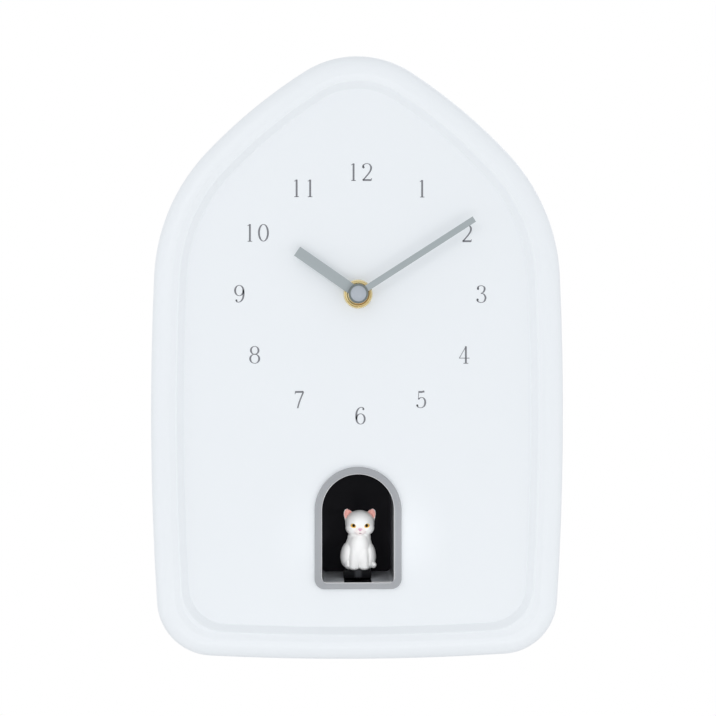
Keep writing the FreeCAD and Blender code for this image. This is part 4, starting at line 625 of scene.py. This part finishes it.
# ---- the cat ----------------------------------------------------------------------------------------
def ear_shell(made, side):
    """Cupped ear with a rounded tip: a curved sheet with real thickness, open to the front."""
    across, up = 14, 16
    thick = 0.9
    wide, tall = EAR_SIZE
    lean = Matrix.Rotation(side * EAR_TILT, 3, "Y")
    place = Vector((side * EAR_PLACE[0], EAR_BACK, EAR_PLACE[1]))
    sheets = []
    for layer in (0.0, thick):
        rows = []
        for j in range(up + 1):
            v = j / up
            flare = 0.74 + 0.26 * math.sin(math.pi * min(1.0, v / 0.7) / 2)
            half = wide * flare * (1 - v ** 7) ** 0.55 + 0.1
            row = []
            for i in range(across + 1):
                u = 2 * i / across - 1
                cup = -0.8 * u * u - 0.5 * v
                spot = lean @ Vector((u * half, cup + layer, v * tall + 0.3 * side * u * v))
                row.append(made.verts.new(spot + place))
            rows.append(row)
        sheets.append(rows)
    front, back = sheets
    for j in range(up):
        for i in range(across):
            made.faces.new((front[j][i], front[j][i + 1], front[j + 1][i + 1], front[j + 1][i]))
            made.faces.new((back[j][i], back[j + 1][i], back[j + 1][i + 1], back[j][i + 1]))
        made.faces.new((front[j][0], front[j + 1][0], back[j + 1][0], back[j][0]))
        made.faces.new((front[j + 1][across], front[j][across], back[j][across], back[j + 1][across]))
    for i in range(across):
        made.faces.new((front[up][i], front[up][i + 1], back[up][i + 1], back[up][i]))
        made.faces.new((front[0][i + 1], front[0][i], back[0][i], back[0][i + 1]))


def sculpt_head(made):
    """Skull, cheeks, muzzle, chin, nose bridge and ears."""
    ball(made, (0, 0.2, 22.9), (7.5, 6.5, 6.75), rings=28)
    for side in (-1, 1):
        ball(made, (side * 3.3, -1.5, 21.1), (4.05, 4.4, 4.1))
        ball(made, (side * 1.15, -4.75, 19.35), (1.7, 1.5, 1.45))
        ear_shell(made, side)
    ball(made, (0, -4.3, 18.2), (1.6, 1.4, 1.2))
    ball(made, (0, -4.8, 21.2), (1.6, 1.4, 2.3))
    bmesh.ops.translate(made, vec=(HEAD_SHIFT, 0, 0), verts=made.verts)


def sculpt_body(made):
    """Chest, belly, haunches, front legs, paws and the tail curled round the right side."""
    ball(made, (0.45, 0.6, 15.6), (5.95, 5.4, 5.2), rings=26)
    ball(made, (0.25, 0.0, 12.0), (6.7, 6.0, 6.4), rings=26)
    ball(made, (-0.1, 1.0, 7.4), (8.1, 7.0, 7.3), rings=26)
    ball(made, (0.3, -2.6, 11.4), (5.4, 4.4, 6.8), rings=24)
    ball(made, (0.15, -3.6, 6.4), (5.5, 3.6, 6.9), rings=24)
    for side in (-1, 1):
        tilt = Matrix.Rotation(side * math.radians(-6), 4, "Y")
        ball(made, (side * 5.6 - 0.1, -0.4, 7.1), (3.45, 5.6, 6.5), tilt, rings=24)
        ball(made, (side * 4.7 - 0.1, -3.4, 2.5), (2.4, 3.1, 2.5))
        shoulder = (side * 1.9 + 0.3, -3.1, 12.0)
        shin = (side * 2.3 + 0.25, -4.6, 7.0)
        ankle = (side * 2.5 + 0.2, -5.0, 2.6)
        limb(made, [shoulder, shin, ankle], [2.9, 2.8, 2.6])
        ball(made, (side * 2.6 + 0.2, -5.7, 1.5), (2.6, 2.5, 1.7))
    tail = [(4.2, 5.0, 2.4), (7.2, 2.6, 2.2), (7.7, -1.0, 2.0), (7.6, -3.6, 1.9), (7.9, -4.2, 2.4)]
    limb(made, tail, [2.0, 1.7, 1.5, 1.35, 1.25])


def sculpt_cat():
    """Sitting kitten, in millimetres from the middle of its base, facing -Y."""
    made = bmesh.new()
    sculpt_head(made)
    body = bmesh.new()
    sculpt_body(body)
    lump = bpy.data.meshes.new("cat_body_lump")
    body.to_mesh(lump)
    body.free()
    made.from_mesh(lump)
    bpy.data.meshes.remove(lump)
    for vert in made.verts:
        vert.co.z = max(vert.co.z, 0.0)
    skin = settle(made, "cat_skin", SKIN_VOXEL, SKIN_EASE)
    for vert in skin.vertices:
        vert.co.z = max(vert.co.z, 0.02)
    return skin


def dent(gap, width):
    """1 in the middle of a groove, falling to 0 over its width."""
    return math.exp(-((gap / width) ** 2))


def carve_grooves(skin):
    """Presses in the faint lines between the front legs, the haunches, the toes and the lips."""
    for vert in skin.vertices:
        x, y, z = vert.co
        x -= LEG_MIDDLE
        push = 0.0
        if y < -3.0 and z < 7.0:
            push += 0.4 * dent(x, 0.35) * min(1.0, (7.0 - z) / 5.0)
        if y < -2.5 and z < 12.0:
            push += 0.35 * dent(abs(x) - 5.1, 0.45) * min(1.0, (12.0 - z) / 6.0)
        if y < -6.8 and z < 2.0:
            for toe in (1.8, 3.4):
                push += 0.16 * dent(abs(x) - toe, 0.22)
        if y < -4.6 and 16.8 < z < 19.8:
            push += 0.3 * dent(x + LEG_MIDDLE - HEAD_SHIFT, 0.28) * dent(z - 18.7, 0.8)
        vert.co.y += push


def surface_front(skin, x, z):
    """The point on the cat's front at x, z, and the outward direction there."""
    tree = BVHTree.FromPolygons([v.co for v in skin.vertices], [p.vertices for p in skin.polygons])
    spot, outward, _, _ = tree.ray_cast(Vector((x, -30.0, z)), Vector((0, 1, 0)))
    return spot, outward


def eye_dome(name, skin, x, z):
    """Almond lens set in the face, bulging just proud of it."""
    spot, outward = surface_front(skin, x, z)
    made = bmesh.new()
    rings, sectors = 8, 28
    rows = []
    for j in range(rings + 1):
        reach = j / rings
        row = []
        for i in range(sectors):
            angle = 2 * math.pi * i / sectors
            pinch = 1.0 - 0.28 * abs(math.cos(angle)) ** 6
            px = EYE_SIZE[0] * reach * math.cos(angle)
            pz = EYE_SIZE[1] * reach * math.sin(angle) * pinch
            py = -0.42 * math.sqrt(max(0.0, 1 - reach ** 2)) + 0.32 * reach ** 2
            row.append(made.verts.new((px, py, pz)))
        rows.append(row)
    for j in range(rings):
        for i in range(sectors):
            k = (i + 1) % sectors
            made.faces.new((rows[j][i], rows[j][k], rows[j + 1][k], rows[j + 1][i]))
    made.faces.new(list(reversed(rows[rings])))
    bmesh.ops.remove_doubles(made, verts=made.verts, dist=1e-5)
    bmesh.ops.recalc_face_normals(made, faces=made.faces)
    facing = Vector((outward.x * 0.8, outward.y, outward.z * 0.5)).normalized()
    turn = Vector((0, -1, 0)).rotation_difference(facing).to_matrix().to_4x4()
    seat = Matrix.Translation(spot - facing * 0.02)
    place = Matrix.Translation(CAT) @ Matrix.Scale(MM, 4) @ seat @ turn
    bmesh.ops.transform(made, matrix=place, verts=made.verts)
    mesh = bpy.data.meshes.new(name)
    made.to_mesh(mesh)
    made.free()
    mesh.shade_smooth()
    add_mesh(name, mesh, eye_glaze(name + "_glaze", CAT + spot * MM), "cat")


def nose_pad(skin):
    """Small rounded triangle with two nostril dents."""
    spot, _ = surface_front(skin, HEAD_SHIFT, NOSE_RISE)
    made = bmesh.new()
    ball(made, (0, 0, 0.18), (1.22, 0.5, 0.5), rings=12)
    ball(made, (0, 0.05, -0.32), (0.68, 0.5, 0.56), rings=12)
    pad = settle(made, "nose", 0.09, 6)
    for vert in pad.vertices:
        for side in (-1, 1):
            gap = math.hypot(vert.co.x - side * 0.5, vert.co.z - 0.02)
            if vert.co.y < 0:
                vert.co.y += 0.12 * dent(gap, 0.16)
        vert.co = CAT + (vert.co + spot + Vector((0, 0.1, 0))) * MM
    pad.shade_smooth()
    add_mesh("cat_nose", pad, nose_paint(), "cat")


def build_cat():
    skin = sculpt_cat()
    carve_grooves(skin)
    nose_pad(skin)
    for name, side in (("cat_eye_left", -1), ("cat_eye_right", 1)):
        eye_dome(name, skin, HEAD_SHIFT + side * EYE_OUT, EYE_RISE)
    for vert in skin.vertices:
        vert.co = CAT + vert.co * MM
    skin.shade_smooth()
    cat = add_mesh("cat_sculpt", skin, FINISHES["cat_white"], "cat")
    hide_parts("cat_figure")


# ---- dial numerals ---------------------------------------------------------------------------------
# Millimetres from the hands' axis; pen widths in numeral heights.
NUMERAL_HIGH = 8.7
NUMERAL_RING = 60.4
NUMERAL_SHIFT = (1.15, 0.1)
NUMERAL_NUDGE = {1: 0.5, 2: 0.7, 3: -0.2, 4: -0.6, 9: 0.6, 10: 1.0, 11: 2.0}
PAIR_SHIFT = 3.35
THICK = 0.105
MEDIUM = 0.08
THIN = 0.036
INK_LIFT = 0.05


def smooth_line(points, steps=10):
    """Curve through the points, eased at each."""
    spots = [Vector(point) for point in points]
    ends = [2 * spots[0] - spots[1]] + spots + [2 * spots[-1] - spots[-2]]
    line = []
    for i in range(1, len(ends) - 2):
        a, b, c, d = ends[i - 1], ends[i], ends[i + 1], ends[i + 2]
        for s in range(steps):
            t = s / steps
            line.append(0.5 * (2 * b + (c - a) * t + (2 * a - 5 * b + 4 * c - d) * t ** 2
                               + (3 * b - 3 * c + d - a) * t ** 3))
    line.append(spots[-1])
    return line


def oval(cx, cy, rx, ry, steps=56):
    turns = [2 * math.pi * i / steps for i in range(steps)]
    return [Vector((cx + rx * math.cos(turn), cy + ry * math.sin(turn))) for turn in turns]


def pen_width(along, pen):
    """Broad where the stroke runs upright, fine where it runs level."""
    if pen == "stress":
        return THIN + (THICK - THIN) * abs(along.y) ** 2.2
    return {"broad": THICK, "medium": MEDIUM, "fine": THIN}[pen]


def ribbon(made, line, pen, closed=False):
    """Inked stroke along a line, in numeral heights, as a thin solid."""
    count = len(line)
    sides = []
    for i, spot in enumerate(line):
        before = line[i - 1] if i or closed else spot
        after = line[(i + 1) % count] if i < count - 1 or closed else spot
        along = (after - before).normalized()
        half = pen_width(along, pen) / 2
        across = Vector((-along.y, along.x)) * half
        sides.append((spot + across, spot - across))
    rows = []
    for left, right in sides:
        rows.append([made.verts.new((p.x, lift, p.y)) for p, lift in
                     ((left, -1.0), (right, -1.0), (right, 0.0), (left, 0.0))])
    last = count if closed else count - 1
    for i in range(last):
        here, there = rows[i], rows[(i + 1) % count]
        for k in range(4):
            made.faces.new((here[k], here[(k + 1) % 4], there[(k + 1) % 4], there[k]))
    if not closed:
        made.faces.new(rows[0][::-1])
        made.faces.new(rows[-1])


def dot(made, x, y, radius):
    """Round inked blob that ends a stroke."""
    spots = oval(x, y, radius, radius, 20)
    top = [made.verts.new((p.x, -1.0, p.y)) for p in spots]
    low = [made.verts.new((p.x, 0.0, p.y)) for p in spots]
    made.faces.new(top)
    made.faces.new(low[::-1])
    for i in range(len(spots)):
        k = (i + 1) % len(spots)
        made.faces.new((top[k], top[i], low[i], low[k]))


# Strokes of each digit, in numeral heights from the middle of its foot; 9 is 6 turned round.
DIGITS = {
    "0": [("ring", 0.0, 0.5, 0.255, 0.475)],
    "1": [("line", "broad", [(0.0, 0.0), (0.0, 0.985)]),
          ("line", "fine", [(-0.13, 0.015), (0.13, 0.015)]),
          ("curve", "fine", [(-0.13, 0.90), (-0.07, 0.925), (-0.01, 0.975)])],
    "2": [("curve", "stress", [(-0.235, 0.76), (-0.20, 0.90), (-0.05, 0.98), (0.12, 0.95), (0.225, 0.79),
                               (0.20, 0.60), (0.06, 0.38), (-0.12, 0.17), (-0.25, 0.03)]),
          ("line", "broad", [(-0.24, 0.045), (0.235, 0.045)]),
          ("curve", "fine", [(0.235, 0.02), (0.262, 0.15)]),
          ("dot", -0.205, 0.765, 0.062)],
    "3": [("curve", "stress", [(-0.215, 0.80), (-0.15, 0.935), (0.0, 0.98), (0.155, 0.91), (0.185, 0.76),
                               (0.10, 0.60), (-0.03, 0.54)]),
          ("curve", "stress", [(-0.03, 0.54), (0.14, 0.49), (0.24, 0.29), (0.15, 0.07), (-0.03, 0.02),
                               (-0.18, 0.07), (-0.245, 0.19)]),
          ("dot", -0.19, 0.79, 0.058), ("dot", -0.215, 0.185, 0.06)],
    "4": [("line", "broad", [(0.09, 0.0), (0.09, 0.985)]),
          ("line", "fine", [(0.09, 0.97), (-0.285, 0.31)]),
          ("line", "fine", [(-0.30, 0.31), (0.30, 0.31)]),
          ("line", "fine", [(-0.05, 0.015), (0.23, 0.015)])],
    "5": [("curve", "stress", [(-0.145, 0.50), (-0.02, 0.60), (0.14, 0.57), (0.235, 0.38), (0.19, 0.14),
                               (0.02, 0.02), (-0.15, 0.05), (-0.245, 0.16)]),
          ("line", "fine", [(-0.15, 0.49), (-0.13, 0.97)]),
          ("curve", "broad", [(-0.14, 0.925), (0.02, 0.92), (0.185, 0.955)]),
          ("dot", -0.215, 0.155, 0.06)],
    "6": [("ring", 0.015, 0.315, 0.235, 0.295),
          ("curve", "stress", [(0.20, 0.88), (0.10, 0.975), (-0.07, 0.93), (-0.20, 0.73), (-0.235, 0.45),
                               (-0.215, 0.28)]), ("dot", 0.175, 0.87, 0.055)],
    "7": [("curve", "broad", [(-0.225, 0.925), (0.0, 0.93), (0.235, 0.935)]),
          ("curve", "medium", [(0.225, 0.92), (0.10, 0.62), (-0.02, 0.30), (-0.10, 0.0)]),
          ("line", "fine", [(-0.225, 0.97), (-0.245, 0.80)])],
    "8": [("ring", 0.0, 0.755, 0.215, 0.225), ("ring", 0.0, 0.275, 0.255, 0.26)],
}


def draw_digit(made, digit, x, z):
    """Adds one digit, its middle at x and its foot at z, in millimetres."""
    turned = digit == "9"
    fresh = bmesh.new()
    for kind, *rest in DIGITS["6" if turned else digit]:
        if kind == "ring":
            ribbon(fresh, oval(*rest), "stress", closed=True)
        elif kind == "dot":
            dot(fresh, *rest)
        elif kind == "line":
            ribbon(fresh, [Vector(point) for point in rest[1]], rest[0])
        else:
            ribbon(fresh, smooth_line(rest[1]), rest[0])
    size = Matrix.Diagonal((NUMERAL_HIGH, INK_LIFT, NUMERAL_HIGH, 1.0))
    flip = Matrix.Identity(4)
    if turned:
        flip = Matrix.Translation((0, 0, 1)) @ Matrix.Rotation(math.pi, 4, "Y")
    place = Matrix.Translation((x, 0, z)) @ size @ flip
    bmesh.ops.transform(fresh, matrix=place, verts=fresh.verts)
    bmesh.ops.recalc_face_normals(fresh, faces=fresh.faces)
    mesh = bpy.data.meshes.new("digit")
    fresh.to_mesh(mesh)
    fresh.free()
    made.from_mesh(mesh)
    bpy.data.meshes.remove(mesh)


def print_numerals():
    """Twelve numerals on a ring round the hands' axis, printed on the dial."""
    ink = printed_ink()
    for hour in range(1, 13):
        made = bmesh.new()
        text = str(hour)
        angle = math.radians(30 * hour)
        x = NUMERAL_SHIFT[0] + NUMERAL_NUDGE.get(hour, 0.0) + NUMERAL_RING * math.sin(angle)
        z = NUMERAL_SHIFT[1] + NUMERAL_RING * math.cos(angle) - NUMERAL_HIGH / 2
        shifts = (0.0,) if len(text) == 1 else (-PAIR_SHIFT, PAIR_SHIFT)
        for digit, shift in zip(text, shifts):
            draw_digit(made, digit, x + shift, z)
        place = Matrix.Translation((AXIS.x, DIAL_Y, AXIS.z)) @ Matrix.Scale(MM, 4)
        bmesh.ops.transform(made, matrix=place, verts=made.verts)
        mesh = bpy.data.meshes.new("numeral_" + text)
        made.to_mesh(mesh)
        made.free()
        add_mesh("numeral_" + text, mesh, ink, "case")


# ---- camera, light, floor ------------------------------------------------------------------------------
CAMERA_LEFT = 0.022
CAMERA_RISE = 0.005
CAMERA_BACK = 0.735
FRAME_WIDE = 0.355
SENSOR = 36.0


def aim(thing, target):
    thing.rotation_euler = (Vector(target) - thing.location).to_track_quat("-Z", "Y").to_euler()


def set_camera():
    """Long lens a little left of the clock and slightly above its middle."""
    lens = bpy.data.cameras.new("camera")
    lens.sensor_width = SENSOR
    lens.lens = SENSOR * CAMERA_BACK / FRAME_WIDE
    camera = bpy.data.objects.new("camera", lens)
    bpy.context.scene.collection.objects.link(camera)
    target = Vector((0.0, DIAL_Y, CASE_MIDDLE.z))
    camera.location = target + Vector((-CAMERA_LEFT, -CAMERA_BACK, CAMERA_RISE))
    aim(camera, target)
    bpy.context.scene.camera = camera


# Name, place, width and height in metres, power in watts; all face the middle of the case.
SOFTBOXES = (
    ("key_softbox", (-0.55, -1.25, 0.35), (0.5, 0.5), 1.2),
    ("low_softbox", (0.1, -0.8, -0.85), (1.2, 0.7), 8.0),
    ("left_softbox", (-1.1, -0.42, -0.4), (0.7, 0.9), 0.8),
    ("right_softbox", (1.1, -0.42, -0.4), (0.7, 0.9), 0.8),
    ("back_softbox", (0.5, 1.3, 0.6), (1.0, 0.9), 1.6),
)
# Name, place from the middle of the cat, power; narrow soft spots on the cat alone.
SNOOTS = (
    ("left_snoot", (-0.42, -0.85, 0.05), 4.8),
    ("right_snoot", (0.42, -0.85, 0.05), 7.0),
    ("top_snoot", (0.0, -0.82, 0.46), 4.6),
)
SNOOT_ANGLE = math.radians(2.05)
SNOOT_BLEND = 0.25
SNOOT_SOFT = 0.02
CAT_MIDDLE = CAT + Vector((0.0, 0.0, 0.016))
STUDIO_TINT = (0.945, 0.966, 0.992, 1.0)
STUDIO_STRENGTH = 0.825


def add_lamp(light, power, place, target):
    light.energy = power
    lamp = bpy.data.objects.new(light.name, light)
    bpy.context.scene.collection.objects.link(lamp)
    lamp.location = place
    aim(lamp, target)


def set_light():
    """Snoots on the cat and soft boxes round the case."""
    for name, offset, power in SNOOTS:
        light = bpy.data.lights.new(name, "SPOT")
        light.spot_size = SNOOT_ANGLE
        light.spot_blend = SNOOT_BLEND
        light.shadow_soft_size = SNOOT_SOFT
        add_lamp(light, power, CAT_MIDDLE + Vector(offset), CAT_MIDDLE)
    for name, place, size, power in SOFTBOXES:
        light = bpy.data.lights.new(name, "AREA")
        light.shape = "RECTANGLE"
        light.size, light.size_y = size
        add_lamp(light, power, place, CASE_MIDDLE)


def set_surround():
    """Even pale surround that lights the object, seen by the camera as plain white."""
    world = bpy.data.worlds.new("studio")
    bpy.context.scene.world = world
    world.use_nodes = True
    tree = world.node_tree
    tree.nodes.clear()
    seen = tree.nodes.new("ShaderNodeBackground")
    lit = tree.nodes.new("ShaderNodeBackground")
    lit.inputs["Color"].default_value = STUDIO_TINT
    lit.inputs["Strength"].default_value = STUDIO_STRENGTH
    path = tree.nodes.new("ShaderNodeLightPath")
    mix = tree.nodes.new("ShaderNodeMixShader")
    out = tree.nodes.new("ShaderNodeOutputWorld")
    seen.inputs["Color"].default_value = (1.0, 1.0, 1.0, 1.0)
    tree.links.new(path.outputs["Is Camera Ray"], mix.inputs[0])
    tree.links.new(lit.outputs[0], mix.inputs[1])
    tree.links.new(seen.outputs[0], mix.inputs[2])
    tree.links.new(mix.outputs[0], out.inputs[0])
    bpy.context.scene.view_settings.view_transform = "Standard"


FLOOR_DROP = 0.42
FLOOR_HALF = 1.1
FLOOR_CELLS = 24


def lay_floor():
    made = bmesh.new()
    bmesh.ops.create_grid(made, x_segments=FLOOR_CELLS, y_segments=FLOOR_CELLS, size=FLOOR_HALF)
    mesh = bpy.data.meshes.new("floor")
    made.to_mesh(mesh)
    made.free()
    floor = bpy.data.objects.new("floor", mesh)
    bpy.context.scene.collection.objects.link(floor)
    floor.location = (0.0, 0.0, SHELL_LOW.z - FLOOR_DROP)
    mesh.materials.append(plain_floor())


dress_frame()
build_cat()
print_numerals()
set_camera()
set_light()
set_surround()
lay_floor()
